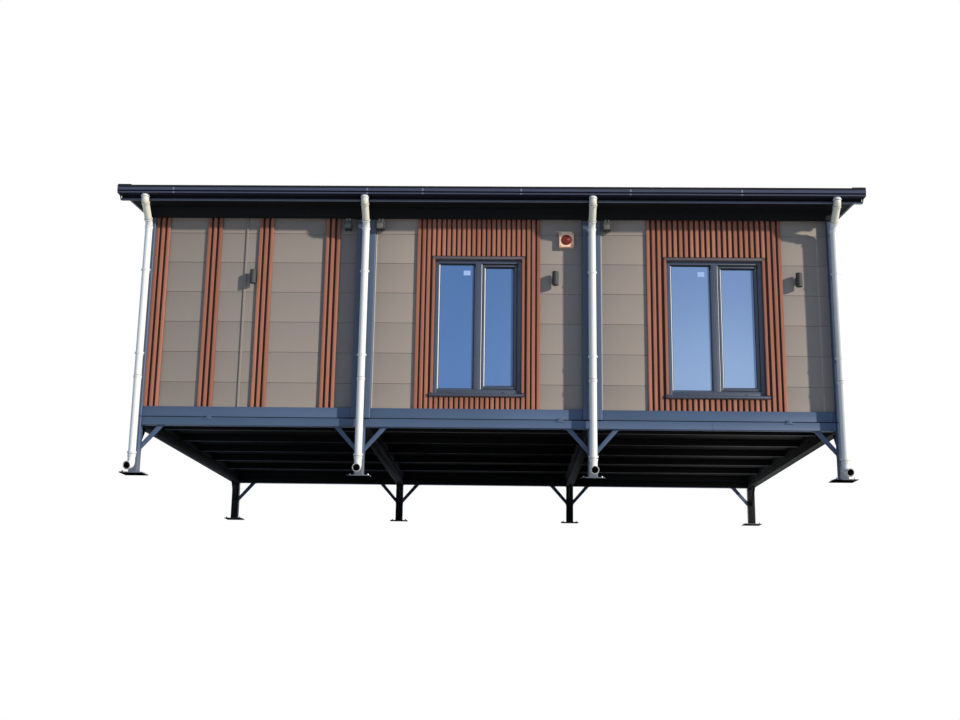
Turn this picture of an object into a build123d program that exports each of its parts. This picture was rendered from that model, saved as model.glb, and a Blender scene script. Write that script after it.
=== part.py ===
from build123d import *
from math import cos, radians, sin, tan
import os

# A single-storey house of three steel-framed modules side by side, standing on braced steel posts.
# All sizes are in millimetres. X runs along the front, Y from the front to the back, Z up.
# The origin is on the ground under the middle of the house.

# Plan
left_module_width = 2965
middle_module_width = 2990
right_module_width = 3235
module_gap = 10
house_depth = 6000
fit = 0.3

# Heights
foot_plate_thickness = 12
support_beam_underside = 640
support_beam_height = 105
bearing_pad_height = 10
base_rail_height = 135
wall_height = 2605
top_rail_height = 115

# Steel sections
column_size = 120
column_proud = 80
corner_cut = 6
rail_depth = 80
support_beam_depth = 100
joist_width = 50
joist_count = 5
brace_width = 40
brace_thickness = 55
brace_run = 285
brace_drop = 320
foot_plate_size = 300
inner_foot_plate_depth = 150
foot_bolt_spacing = 230
foot_bolt_hole = 18

# Walls, floor and ceiling
cladding_thickness = 40
core_thickness = 110
course_height = 410
bottom_course_height = 330
course_bevel = 6
deck_thickness = 35
ceiling_thickness = 100
joiner_trim_width = 26
joiner_trim_depth = 14
joiner_trim_place = 0.453

# Fluted slats
rib_width = 43
rib_depth = 28
slat_backing = 6
surround_ribs = 25
side_ribs = 3
strip_width = 192
strip_places = (0.0, 0.278, 0.553, 0.907)
middle_surround_width = 1640
right_surround_width = 1785

# Windows and door
opening_clearance = 8
trim_thickness = 34
trim_proud = 36
window_sill_height = 210
window_height = 1822
frame_face = 50
frame_depth = 72
frame_setback = 12
mullion_face = 76
sash_face = 40
sash_setback = 14
glass_thickness = 28
sill_thickness = 14
sill_overhang = 6
sill_proud = 58
door_height = 2110
door_leaf_thickness = 60
door_leaf_setback = 20
handle_height = 850
handle_size = 20
handle_length = 400
handle_reach = 60
handle_inset = 60

# Roof
roof_pitch = 4.5
front_eave = 350
side_eave = 265
slab_thickness = 80
slab_lift = 85
soffit_thickness = 12
apron_thickness = 12
apron_overlap = 35
fascia_drip = 5
fascia_thickness = 20
fascia_lap = 12
barge_thickness = 20
barge_height = 155
barge_lip = 8
sheet_thickness = 3
sheet_rib_height = 20
sheet_rib_pitch = 250
sheet_rib_foot = 60
sheet_rib_crown = 30
gutter_width = 140
gutter_height = 110
gutter_wall = 4
gutter_drop = 55
gutter_side_reach = 300
gutter_step = 12
gutter_step_height = 20
gutter_step_slant = 4
gutter_lip = 14

# Rainwater pipes
pipe_radius = 48
pipe_bore = 42
pipe_offset = 87
pipe_top_drop = 75
socket_extra = 5
socket_height = 44
socket_share = 0.136
low_clip_rise = 75
clip_shares = (0.26, 0.695)
shoe_height = 80
shoe_reach = 105
shoe_fall = 18
shoe_bore_depth = 60
end_shoe_turn = 14
inner_shoe_turn = 4
clip_width = 26
clip_thickness = 4
clip_strap_width = 60

# Fittings on the front
light_height = 185
light_width = 84
light_reach = 120
light_plate = 10
light_plate_width = 60
light_plate_height = 110
light_centre_z = 2645
strip_light_gap = 47
middle_light_gap = 357
right_light_gap = 399
siren_size = 195
siren_depth = 60
siren_corner = 16
siren_drop = 310
siren_gap = 207
siren_lens_radius = 64
siren_lens_height = 22
lamp_size = 108
lamp_depth = 150
lamp_gap = 10
lamp_stud_height = 53
lamp_stud_size = 12
lamp_stud_spacing = 42
lamp_1_gap = 251
lamp_2_gap = 188
lamp_3_gap = 205

# Worked-out levels
support_top = support_beam_underside + support_beam_height
rail_bottom = support_top + bearing_pad_height
floor_level = rail_bottom + base_rail_height
wall_top = floor_level + wall_height
frame_top = wall_top + top_rail_height
deck_bottom = floor_level - deck_thickness
siren_centre_z = wall_top - siren_drop
apron_bottom = wall_top - apron_overlap

# Worked-out lines in plan
front_y = -house_depth / 2
column_front = front_y - column_proud
column_back = column_front + column_size
core_front = front_y + cladding_thickness
core_back = core_front + core_thickness
rail_front = column_back - rail_depth
house_width = left_module_width + middle_module_width + right_module_width + 2 * module_gap
left_end = -house_width / 2
left_joint = left_end + left_module_width + module_gap / 2
right_joint = left_joint + module_gap + middle_module_width
right_end = -left_end
module_spans = {
    "left": (left_end, left_joint - module_gap / 2),
    "middle": (left_joint + module_gap / 2, right_joint - module_gap / 2),
    "right": (right_joint + module_gap / 2, right_end),
}
post_centres = (left_end + column_size / 2, left_joint, right_joint, right_end - column_size / 2)
side_face = right_end - column_proud
middle_centre = sum(module_spans["middle"]) / 2
right_centre = sum(module_spans["right"]) / 2

# Worked-out roof lines
eave_front = front_y - front_eave
eave_back = gutter_width - eave_front
slab_front = eave_front + fascia_thickness
slab_back = eave_back - fascia_thickness
slope = tan(radians(roof_pitch))
slab_rise = slab_thickness / cos(radians(roof_pitch))
eave_underside = frame_top + slab_lift
gutter_bottom = frame_top + gutter_drop
roof_side = right_end + side_eave

os.makedirs("parts", exist_ok=True)


def save(name, solids):
    """Write one sub-part, made of one or more solids, under its own name."""
    shapes = list(solids) if isinstance(solids, (list, tuple)) else [solids]
    shape = shapes[0] if len(shapes) == 1 else Compound(children=shapes)
    export_step(shape, "parts/" + name + ".step")


def block(x0, x1, y0, y1, z0, z1):
    """A box between three pairs of limits."""
    centre = Pos((x0 + x1) / 2, (y0 + y1) / 2, (z0 + z1) / 2)
    return centre * Box(abs(x1 - x0), abs(y1 - y0), abs(z1 - z0))


def prism_x(points, x0, x1):
    """An outline of (y, z) points drawn out along X."""
    face = Plane.YZ.offset(x0) * make_face(Polyline(*points, close=True))
    return extrude(face, amount=x1 - x0, dir=(1, 0, 0))


def prism_y(points, y0, y1):
    """An outline of (x, z) points drawn out along Y."""
    face = Plane.XZ.offset(-y0) * make_face(Polyline(*points, close=True))
    return extrude(face, amount=y1 - y0, dir=(0, 1, 0))


def prism_z(points, z0, z1):
    """An outline of (x, y) points drawn out along Z."""
    face = Plane.XY.offset(z0) * make_face(Polyline(*points, close=True))
    return extrude(face, amount=z1 - z0, dir=(0, 0, 1))


def to_back(solids):
    """The same pieces on the back of the house, mirrored across its long middle line."""
    return [mirror(solid, about=Plane.XZ) for solid in solids]


def roof_under(y):
    """Height of the underside of the roof slab at a place along Y."""
    return eave_underside + (y - eave_front) * slope


def tube_post(x, y, z0, z1):
    """A square steel section standing upright, its corners eased."""
    half = column_size / 2
    post = block(x - half, x + half, y - half, y + half, z0, z1)
    return chamfer(post.edges().filter_by(Axis.Z), corner_cut)


# Support posts and their foot plates


def post_top(index):
    """End posts carry the columns, inner posts carry the support beam."""
    is_end = index in (0, len(post_centres) - 1)
    return support_top if is_end else support_beam_underside


def post_row():
    y = column_front + column_size / 2
    return [tube_post(x, y, foot_plate_thickness, post_top(i)) for i, x in enumerate(post_centres)]


def foot_plate(x, y, depth, bolt_rows):
    plate = Box(foot_plate_size, depth, foot_plate_thickness)
    for place in GridLocations(foot_bolt_spacing, foot_bolt_spacing, 2, bolt_rows):
        plate = plate - place * Cylinder(foot_bolt_hole / 2, 2 * foot_plate_thickness)
    return Pos(x, y, foot_plate_thickness / 2) * plate


def foot_plate_row():
    """Square plates with four bolts at the ends, narrow ones with two bolts at the inner posts."""
    y = column_front + column_size / 2
    ends = [foot_plate(x, y, foot_plate_size, 2) for x in (post_centres[0], post_centres[-1])]
    inner = [foot_plate(x, y, inner_foot_plate_depth, 1) for x in post_centres[1:-1]]
    return ends + inner


# Support frame under the modules


def support_beam():
    x0 = left_end + column_size
    y0 = column_back - support_beam_depth
    return [block(x0, -x0, y0, column_back, support_beam_underside, support_top)]


def cross_beams():
    half = column_size / 2
    return [
        block(x - half, x + half, column_back, -column_back, support_beam_underside, support_top)
        for x in post_centres
    ]


def brace_outline(start, side, top):
    """A diagonal strut between a post face and a beam's underside; side is the way it leans."""
    cut = brace_thickness * 1.41
    return [
        (start, top - brace_drop),
        (start, top - brace_drop + cut),
        (start + side * (brace_run - cut), top),
        (start + side * brace_run, top),
    ]


def facade_braces():
    """Struts in the plane of the front: one at each end post, two at each inner post."""
    y = column_back - support_beam_depth / 2
    half = column_size / 2
    braces = []
    for i, x in enumerate(post_centres):
        sides = {0: (1,), len(post_centres) - 1: (-1,)}.get(i, (-1, 1))
        for side in sides:
            outline = brace_outline(x + side * half, side, support_beam_underside)
            braces.append(prism_y(outline, y - brace_width / 2, y + brace_width / 2))
    return braces


def depth_braces():
    """Struts from each post up to the beam that runs towards the back."""
    outline = brace_outline(column_back, 1, support_beam_underside)
    half = brace_width / 2
    return [prism_x(outline, x - half, x + half) for x in post_centres]


def bearing_pads():
    """Packing strips, set back from the steel faces, that the modules rest on."""
    inset = 10
    x0 = left_end + column_size
    y0 = column_back - support_beam_depth + inset
    long_pad = block(x0, -x0, y0, column_back - inset, support_top, rail_bottom)
    pads = [long_pad] + to_back([long_pad])
    half = column_size / 2
    for x in post_centres:
        pads.append(
            block(x - half + inset, x + half - inset, column_back, -column_back, support_top, rail_bottom)
        )
    caps = []
    for x in (post_centres[0], post_centres[-1]):
        y = column_front + column_size / 2
        reach = half - inset
        caps.append(block(x - reach, x + reach, y - reach, y + reach, support_top, rail_bottom))
    return pads + caps + to_back(caps)


# Module frames


def columns_front():
    """Six corner columns along one long side, two to a module."""
    y = column_front + column_size / 2
    half = column_size / 2
    places = []
    for span in module_spans.values():
        places += [span[0] + half, span[1] - half]
    return [tube_post(x, y, rail_bottom, frame_top) for x in places]


def rails_front(z0, z1):
    spans = [(a + column_size, b - column_size) for a, b in module_spans.values()]
    return [block(a, b, rail_front, column_back, z0, z1) for a, b in spans]


def rails_outer(z0, z1):
    """The rails along the two ends of the house."""
    x1 = right_end - column_size
    right = block(x1, x1 + rail_depth, column_back, -column_back, z0, z1)
    return [right, mirror(right, about=Plane.YZ)]


def rails_inner(z0, z1):
    """The rails along the joints between modules."""
    rails = []
    for joint in (left_joint, right_joint):
        for side in (-1, 1):
            near = joint + side * module_gap / 2
            rails.append(block(near, near + side * rail_depth, column_back, -column_back, z0, z1))
    return rails


def inner_limits(name):
    """Where a module is clear between its two side rails."""
    a, b = module_spans[name]
    x0 = a + (column_size if name == "left" else rail_depth)
    x1 = b - (column_size if name == "right" else rail_depth)
    return x0, x1


def floor_joists():
    joists = []
    spacing = (2 * -column_back) / (joist_count + 1)
    for name in module_spans:
        x0, x1 = inner_limits(name)
        for i in range(joist_count):
            y = column_back + (i + 1) * spacing
            joists.append(block(x0, x1, y - joist_width / 2, y + joist_width / 2, rail_bottom, deck_bottom))
    return joists


def joint_to_joint(name):
    """A module's floor and ceiling run from the end wall line to the joint line."""
    starts = {"left": left_end + column_size, "middle": left_joint + fit / 2, "right": right_joint + fit / 2}
    ends = {"left": left_joint - fit / 2, "middle": right_joint - fit / 2, "right": right_end - column_size}
    x0 = starts[name]
    x1 = ends[name]
    return x0, x1


def deck(name):
    x0, x1 = joint_to_joint(name)
    return block(x0, x1, column_back, -column_back, deck_bottom, floor_level)


def ceiling(name):
    x0, x1 = joint_to_joint(name)
    return block(x0, x1, column_back, -column_back, wall_top, wall_top + ceiling_thickness)


# Slats


def fluted_panel(x0, x1, ribs, z0, z1):
    """Upright ribs on a thin backing, as one panel seated on the front cladding."""
    face = front_y
    back = face - slat_backing
    tip = face - rib_depth
    pitch = (x1 - x0 - rib_width) / (ribs - 1)
    points = [(x0, face)]
    for i in range(ribs):
        a = x0 + i * pitch
        points += [(a, tip), (a + rib_width, tip)]
        if i < ribs - 1:
            points += [(a + rib_width, back), (a + pitch, back)]
    points.append((x1, face))
    return prism_z(points, z0, z1)


def rib_pitch(width):
    """Ribs repeat at this pitch, from the left edge of one rib to the next."""
    return (width - rib_width) / (surround_ribs - 1)


def opening_width(surround):
    """Clear width between the upright slats beside a window or door."""
    return surround - 2 * side_ribs * rib_pitch(surround)


def surround_panels(centre, width, head, foot):
    """Slats round an opening: full height beside it, short above and, if foot is given, below."""
    pitch = rib_pitch(width)
    x0 = centre - width / 2
    x1 = centre + width / 2
    side = (side_ribs - 1) * pitch + rib_width
    inner = side_ribs * pitch
    middle_ribs = surround_ribs - 2 * side_ribs
    panels = [
        fluted_panel(x0, x0 + side, side_ribs, floor_level, wall_top),
        fluted_panel(x1 - side, x1, side_ribs, floor_level, wall_top),
        fluted_panel(x0 + inner, x1 - inner, middle_ribs, head, wall_top),
    ]
    if foot > floor_level:
        panels.append(fluted_panel(x0 + inner, x1 - inner, middle_ribs, floor_level, foot))
    return panels


def clear_span(name):
    """Where a module's front is clear between its two columns."""
    a, b = module_spans[name]
    return a + column_size, b - column_size


def strip_starts():
    """Left edges of the narrow strips, spread over the left module."""
    x0, x1 = clear_span("left")
    room = x1 - x0 - strip_width
    return [x0 + place * room for place in strip_places]


def strip_panels():
    return [fluted_panel(x, x + strip_width, side_ribs, floor_level, wall_top) for x in strip_starts()]


# Windows and door: every limit of an opening comes from the slats round it


def window_limits(centre, surround):
    """Outer limits of the window frame: x0, x1, z0, z1."""
    half = opening_width(surround) / 2 - opening_clearance - trim_thickness
    z0 = floor_level + window_sill_height
    return centre - half, centre + half, z0, z0 + window_height


def door_limits():
    half = opening_width(middle_surround_width) / 2 - opening_clearance - trim_thickness
    return middle_centre - half, middle_centre + half, floor_level, floor_level + door_height


middle_window = window_limits(middle_centre, middle_surround_width)
right_window = window_limits(right_centre, right_surround_width)
door = door_limits()


def split_wall(x0, x1, y0, y1, z0, z1, hole):
    """A wall of plain slabs round an opening: piers beside it, a head over it and a sill under it."""
    if hole is None:
        return [block(x0, x1, y0, y1, z0, z1)]
    a, b, c, d = hole
    slabs = [
        block(x0, a, y0, y1, z0, z1),
        block(b, x1, y0, y1, z0, z1),
        block(a + fit, b - fit, y0, y1, d, z1),
    ]
    if c > z0:
        slabs.append(block(a + fit, b - fit, y0, y1, z0, c))
    return slabs


def wall_core(name, hole):
    x0, x1 = joint_to_joint(name)
    return split_wall(x0, x1, core_front, core_back, floor_level, wall_top, hole)


def course_levels():
    """Top and bottom of each cladding course, from the floor up."""
    levels = [floor_level, floor_level + bottom_course_height]
    while levels[-1] + course_height < wall_top:
        levels.append(levels[-1] + course_height)
    return levels + [wall_top]


def bevelled_course(x0, x1, z0, z1):
    """One cladding panel, its long outer edges bevelled so that two of them meet in a V joint."""
    outline = [
        (core_front, z0),
        (front_y + course_bevel, z0),
        (front_y, z0 + course_bevel),
        (front_y, z1 - course_bevel),
        (front_y + course_bevel, z1),
        (core_front, z1),
    ]
    return prism_x(outline, x0, x1)


def cladding(name, hole):
    """Horizontal courses between a module's columns, cut short at the window or door."""
    a, b = module_spans[name]
    x0 = a + column_size
    x1 = b - column_size
    levels = course_levels()
    courses = []
    for low, high in zip(levels[:-1], levels[1:]):
        z0 = low if low == floor_level else low + fit / 2
        z1 = high if high == wall_top else high - fit / 2
        if hole is None or hole[3] <= z0 or hole[2] >= z1:
            courses.append(bevelled_course(x0, x1, z0, z1))
            continue
        courses.append(bevelled_course(x0, hole[0], z0, z1))
        courses.append(bevelled_course(hole[1], x1, z0, z1))
        if hole[3] < z1:
            courses.append(block(hole[0] + fit, hole[1] - fit, front_y, core_front, hole[3], z1))
        if hole[2] > z0:
            courses.append(block(hole[0] + fit, hole[1] - fit, front_y, core_front, z0, hole[2]))
    return courses


def side_core():
    """The end wall behind its cladding, on the right; the left one mirrors it."""
    x1 = side_face - cladding_thickness
    return block(x1 - core_thickness, x1, core_back, -core_back, floor_level, wall_top)


def side_cladding():
    x1 = side_face
    x0 = x1 - cladding_thickness
    levels = course_levels()
    courses = []
    for low, high in zip(levels[:-1], levels[1:]):
        z0 = low if low == floor_level else low + fit / 2
        z1 = high if high == wall_top else high - fit / 2
        outline = [
            (x0, z0),
            (x1 - course_bevel, z0),
            (x1, z0 + course_bevel),
            (x1, z1 - course_bevel),
            (x1 - course_bevel, z1),
            (x0, z1),
        ]
        courses.append(prism_y(outline, column_back, -column_back))
    return courses


def ring(x0, x1, z0, z1, face, y0, y1, with_foot=True):
    """Two full-height jambs with a head and a foot between them, as four separate bars."""
    bars = [
        block(x0, x0 + face, y0, y1, z0, z1),
        block(x1 - face, x1, y0, y1, z0, z1),
        block(x0 + face + fit, x1 - face - fit, y0, y1, z1 - face, z1),
    ]
    if with_foot:
        bars.append(block(x0 + face + fit, x1 - face - fit, y0, y1, z0, z0 + face))
    return bars


def mullion_centre(window):
    """The upright bar between the fixed pane on the left and the sash on the right."""
    return (window[0] + window[1]) / 2


def window_frame(window):
    x0, x1, z0, z1 = window
    y0 = front_y + frame_setback
    y1 = y0 + frame_depth
    mid = mullion_centre(window)
    bars = ring(x0, x1, z0, z1, frame_face, y0, y1)
    half = mullion_face / 2
    bars.append(block(mid - half, mid + half, y0, y1, z0 + frame_face + fit, z1 - frame_face - fit))
    return bars


def sash_limits(window):
    x0, x1, z0, z1 = window
    return (
        mullion_centre(window) + mullion_face / 2 + fit,
        x1 - frame_face - fit,
        z0 + frame_face + fit,
        z1 - frame_face - fit,
    )


def window_sash(window):
    y0 = front_y + frame_setback + sash_setback
    return ring(*sash_limits(window), sash_face, y0, y0 + frame_depth)


def window_glass(window):
    """One fixed pane and one pane in the sash, each held by the bars round it."""
    x0, x1, z0, z1 = window
    y0 = front_y + frame_setback + (frame_depth - glass_thickness) / 2
    y1 = y0 + glass_thickness
    fixed = block(
        x0 + frame_face + fit,
        mullion_centre(window) - mullion_face / 2 - fit,
        y0,
        y1,
        z0 + frame_face + fit,
        z1 - frame_face - fit,
    )
    a, b, c, d = sash_limits(window)
    edge = sash_face + fit
    sash_y = y0 + sash_setback
    pane = block(a + edge, b - edge, sash_y, sash_y + glass_thickness, c + edge, d - edge)
    return [fixed, pane]


def opening_trim(hole):
    """The wood-coloured lining round an opening, proud of the slats, open at the foot."""
    x0, x1, z0, z1 = hole
    y0 = front_y - trim_proud
    y1 = front_y
    t = trim_thickness
    return [
        block(x0 - t, x0, y0, y1, z0, z1 + t),
        block(x1, x1 + t, y0, y1, z0, z1 + t),
        block(x0 + fit, x1 - fit, y0, y1, z1, z1 + t),
    ]


def window_sill(window):
    """A folded metal sill that slopes out under the window."""
    x0, x1, z0, z1 = window
    y0 = front_y - sill_proud
    t = sill_thickness
    outline = [
        (front_y, z0 - fit),
        (y0, z0 - fit - t),
        (y0, z0 - fit - 3 * t),
        (y0 + t / 2, z0 - fit - 3 * t),
        (y0 + t / 2, z0 - fit - 2 * t),
        (front_y, z0 - fit - t),
    ]
    reach = trim_thickness + sill_overhang
    return [prism_x(outline, x0 - reach, x1 + reach)]


def door_frame():
    y0 = front_y + frame_setback
    return ring(*door, frame_face, y0, y0 + frame_depth, with_foot=False)


def door_leaf():
    x0, x1, z0, z1 = door
    y0 = front_y + door_leaf_setback
    edge = frame_face + fit
    return block(x0 + edge, x1 - edge, y0, y0 + door_leaf_thickness, z0 + fit, z1 - edge)


def door_handle():
    """A straight pull bar on two stand-offs."""
    x = door[1] - frame_face - handle_inset
    y0 = front_y + door_leaf_setback
    z = floor_level + handle_height
    half = handle_size / 2
    y_bar = y0 - handle_reach
    shape = block(x - half, x + half, y_bar, y_bar + handle_size, z, z + handle_length)
    for z_post in (z + handle_length / 6, z + handle_length * 5 / 6 - handle_size):
        shape = shape + block(x - half, x + half, y0 - handle_reach, y0, z_post, z_post + handle_size)
    return shape.solids()[0]


# Roof


def roof_slab():
    y0 = slab_front
    y1 = slab_back
    outline = [
        (y0, roof_under(y0)),
        (y1, roof_under(y1)),
        (y1, roof_under(y1) + slab_rise),
        (y0, roof_under(y0) + slab_rise),
    ]
    half = roof_side - barge_thickness
    return prism_x(outline, -half, half)


def roof_sheet():
    """Ribbed sheet: upright ribs run down the slope and repeat across the roof."""
    half = roof_side - barge_thickness
    count = int(2 * half // sheet_rib_pitch)
    start = -(count - 1) * sheet_rib_pitch / 2
    lean = (sheet_rib_foot - sheet_rib_crown) / 2
    top = [(-half, 0)]
    for i in range(count):
        x = start + i * sheet_rib_pitch
        top.append((x - sheet_rib_foot / 2, 0))
        top.append((x - sheet_rib_foot / 2 + lean, sheet_rib_height))
        top.append((x + sheet_rib_foot / 2 - lean, sheet_rib_height))
        top.append((x + sheet_rib_foot / 2, 0))
    top.append((half, 0))
    upper = [(x, z + sheet_thickness) for x, z in top]
    length = (slab_back - slab_front) / cos(radians(roof_pitch))
    sheet = prism_y(top + upper[::-1], 0, length)
    lift = roof_under(slab_front) + slab_rise
    return Pos(0, slab_front, lift) * Rot(roof_pitch, 0, 0) * sheet


def barge():
    """A folded edge board down the slope at the right; the left one mirrors it."""
    y0 = slab_front
    y1 = eave_back
    low = roof_under(y0) - barge_lip
    high = roof_under(y1) - barge_lip
    outline = [(y0, low), (y1, high), (y1, high + barge_height), (y0, low + barge_height)]
    x1 = roof_side
    return prism_x(outline, x1 - barge_thickness, x1)


def fascia_front():
    """The front board laps the ends of the barge boards."""
    half = roof_side + fascia_lap
    top = roof_under(slab_front) + slab_rise
    return block(-half, half, eave_front, slab_front, frame_top - fascia_drip, top)


def fascia_back():
    half = roof_side - barge_thickness
    z0 = roof_under(slab_back) - barge_lip
    top = roof_under(slab_back) + slab_rise
    return block(-half, half, slab_back, eave_back, z0, top)


def soffit_front():
    """Level boarding out to the fascia, with an apron hanging over the heads of the columns."""
    board = block(-right_end, right_end, slab_front, rail_front, frame_top, frame_top + soffit_thickness)
    apron_front = column_front - apron_thickness
    return board + block(-right_end, right_end, apron_front, column_front, apron_bottom, frame_top)


def eave_end():
    """Closes the right end of the box eave; the left one mirrors it."""
    outline = [
        (slab_front, frame_top + soffit_thickness),
        (rail_front, frame_top + soffit_thickness),
        (rail_front, roof_under(rail_front)),
        (slab_front, roof_under(slab_front)),
    ]
    return prism_x(outline, right_end - fascia_thickness, right_end)


def wall_plate_front():
    """Closes the wedge between the front top rails and the roof slab."""
    outline = [
        (rail_front, frame_top),
        (column_back, frame_top),
        (column_back, roof_under(column_back)),
        (rail_front, roof_under(rail_front)),
    ]
    x1 = right_end - column_size + rail_depth
    return prism_x(outline, -x1, x1)


def upper_wall_back():
    """The part of the back wall between the module tops and the high side of the roof."""
    y0 = -column_back
    y1 = -rail_front
    outline = [(y0, frame_top), (y1, frame_top), (y1, roof_under(y1)), (y0, roof_under(y0))]
    x1 = right_end - column_size + rail_depth
    return prism_x(outline, -x1, x1)


def gable():
    """The wedge of wall over the right end; the left one mirrors it."""
    y0 = column_back
    y1 = -column_back
    outline = [(y0, frame_top), (y1, frame_top), (y1, roof_under(y1)), (y0, roof_under(y0))]
    x1 = right_end - column_size + rail_depth
    return prism_x(outline, x1 - rail_depth, x1)


def gutter():
    """A square gutter with a rolled front edge, a stepped face and closed ends."""
    y1 = eave_front
    y0 = eave_front - gutter_width
    z0 = gutter_bottom
    z1 = z0 + gutter_height
    t = gutter_wall
    step = gutter_step
    low = z0 + gutter_step_height
    high = low + gutter_step_slant
    outline = [
        (y1, z0),
        (y0 + step, z0),
        (y0 + step, low),
        (y0, high),
        (y0, z1),
        (y0 + gutter_lip, z1),
        (y0 + gutter_lip, z1 - t),
        (y0 + t, z1 - t),
        (y0 + t, high + t),
        (y0 + step + t, low + t),
        (y0 + step + t, z0 + t),
        (y1 - t, z0 + t),
        (y1 - t, z1),
        (y1, z1),
    ]
    half = right_end + gutter_side_reach
    trough = prism_x(outline, -half, half)
    for side in (-1, 1):
        end = block(side * (half - t), side * half, y0 + step / 2, y1 - t / 2, z0 + t / 2, z1 - t)
        trough = trough + end
    for x in post_centres:
        trough = trough - Pos(x, pipe_outlet_y(), z0) * Cylinder(pipe_bore, 4 * t)
    return trough.solids()[0]


# Rainwater pipes


def pipe_outlet_y():
    """The outlet is under the middle of the gutter."""
    return eave_front - gutter_width / 2


def pipe_line_y():
    """The upright run of each pipe stands just clear of its column."""
    return column_front - pipe_offset


def pipe_corners(x, turn):
    """Corners of one pipe's centre line: under the gutter, back to the column, down it and out."""
    y_out = pipe_outlet_y()
    y_in = pipe_line_y()
    knee = gutter_bottom - pipe_top_drop
    side = shoe_reach * sin(radians(turn))
    forward = shoe_reach * cos(radians(turn))
    return [
        (x, y_out, gutter_bottom),
        (x, y_out, knee),
        (x, y_in, knee - (y_in - y_out)),
        (x, y_in, shoe_height + shoe_fall),
        (x + side, y_in - forward, shoe_height),
    ]


def pipe_socket(x, y, z):
    """The wider mouth of a pipe length, where the one above it plugs in."""
    return Pos(x, y, z) * Cylinder(pipe_radius + socket_extra, socket_height)


def downpipe(x, turn):
    corners = pipe_corners(x, turn)
    line = Polyline(*corners)
    start = Plane(origin=corners[0], z_dir=(0, 0, -1))
    body = sweep(start * Circle(pipe_radius), line, transition=Transition.RIGHT)
    body = body + pipe_socket(x, pipe_line_y(), socket_level())
    mouth = Plane(origin=line @ 1, z_dir=line % 1)
    body = body - mouth * Cylinder(pipe_bore, 2 * shoe_bore_depth)
    return body.solids()[0]


def socket_level():
    """Height of the socket where two lengths of the upright run meet."""
    return floor_level + socket_share * wall_height


def downpipes():
    turns = (-end_shoe_turn, -inner_shoe_turn, inner_shoe_turn, end_shoe_turn)
    return [downpipe(x, turn) for x, turn in zip(post_centres, turns)]


def clip_levels():
    """A clip above the shoe and two on the column beside the wall."""
    low = shoe_height + shoe_reach + low_clip_rise
    return [low] + [floor_level + share * wall_height for share in clip_shares]


def pipe_clip(x, z):
    """A twelve-sided band round the pipe on a stem, with a strap that bears on the column."""
    low = Plane.XY.offset(-clip_width / 2)
    inner_radius = pipe_radius + fit
    outer_radius = inner_radius + clip_thickness
    inner = low * RegularPolygon(inner_radius, 12, major_radius=False)
    outer = low * RegularPolygon(outer_radius, 12, major_radius=False)
    band = extrude(outer - inner, amount=clip_width)
    half = clip_width / 2
    stem = block(-half / 2, half / 2, inner_radius + clip_thickness / 2, pipe_offset, -half, half)
    strap_half = clip_strap_width / 2
    strap = block(-strap_half, strap_half, pipe_offset - clip_thickness, pipe_offset, -half, half)
    return Pos(x, pipe_line_y(), z) * (band + stem + strap)


def pipe_clips():
    return [pipe_clip(x, z) for x in post_centres for z in clip_levels()]


# Fittings on the front


def wall_light(x):
    """An up-and-down light: an upright cylinder on a stem and a flat back plate."""
    radius = light_width / 2
    half_plate = light_plate_width / 2
    half_height = light_plate_height / 2
    y_body = front_y - light_reach + radius
    low = light_centre_z - half_height
    high = light_centre_z + half_height
    plate = block(x - half_plate, x + half_plate, front_y - light_plate, front_y, low, high)
    stem = block(x - half_plate / 2, x + half_plate / 2, y_body, front_y - light_plate, low, high)
    body = Pos(x, y_body, light_centre_z) * Cylinder(radius, light_height)
    return body + stem + plate


def light_places():
    """One light beside the third strip, one beyond each window, measured from what it is next to."""
    return (
        strip_starts()[2] - strip_light_gap,
        clear_span("middle")[1] - middle_light_gap,
        clear_span("right")[1] - right_light_gap,
    )


def siren_place():
    return clear_span("middle")[1] - siren_gap


def siren():
    """A square alarm housing, its corners cut back."""
    x = siren_place()
    half = siren_size / 2
    low = siren_centre_z - half
    high = siren_centre_z + half
    box = block(x - half, x + half, front_y - siren_depth, front_y, low, high)
    return chamfer(box.edges().filter_by(Axis.Y), siren_corner)


def siren_lens():
    """The raised round lens."""
    lens = Cylinder(siren_lens_radius, siren_lens_height)
    face = front_y - siren_depth - siren_lens_height / 2
    return Pos(siren_place(), face, siren_centre_z) * Rot(90, 0, 0) * lens


def flood_lamp(x):
    """A box lamp with its back to the wall, hung from the apron on two studs."""
    half = lamp_size / 2
    y0 = front_y - lamp_gap - lamp_depth
    top = apron_bottom - lamp_stud_height
    shape = block(x - half, x + half, y0, y0 + lamp_depth, top - lamp_size, top)
    stud_y = column_front - apron_thickness / 2
    reach = lamp_stud_size / 2
    for side in (-1, 1):
        x_stud = x + side * lamp_stud_spacing / 2
        stud = block(x_stud - reach, x_stud + reach, stud_y - reach, stud_y + reach, top, apron_bottom)
        shape = shape + stud
    return shape.solids()[0]


def lamp_places():
    return left_joint - lamp_1_gap, left_joint + lamp_2_gap, right_joint + lamp_3_gap


def joiner_trim():
    """The slim upright strip that covers a joint in the left cladding."""
    x0, x1 = clear_span("left")
    x = x0 + joiner_trim_place * (x1 - x0)
    half = joiner_trim_width / 2
    return block(x - half, x + half, front_y - joiner_trim_depth, front_y, floor_level, wall_top)


def at_both_ends(piece):
    """A piece at the right end of the house and its mirror image at the left end."""
    return [piece, mirror(piece, about=Plane.YZ)]


def front_and_back(solids):
    return solids + to_back(solids)


front_windows = (middle_window, right_window)
rear_windows = (right_window,)
front_holes = {"left": None, "middle": middle_window, "right": right_window}
rear_holes = {"left": None, "middle": door, "right": right_window}


def for_modules(make, holes):
    """The pieces of all three modules in one list."""
    return [piece for name, hole in holes.items() for piece in make(name, hole)]


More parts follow.
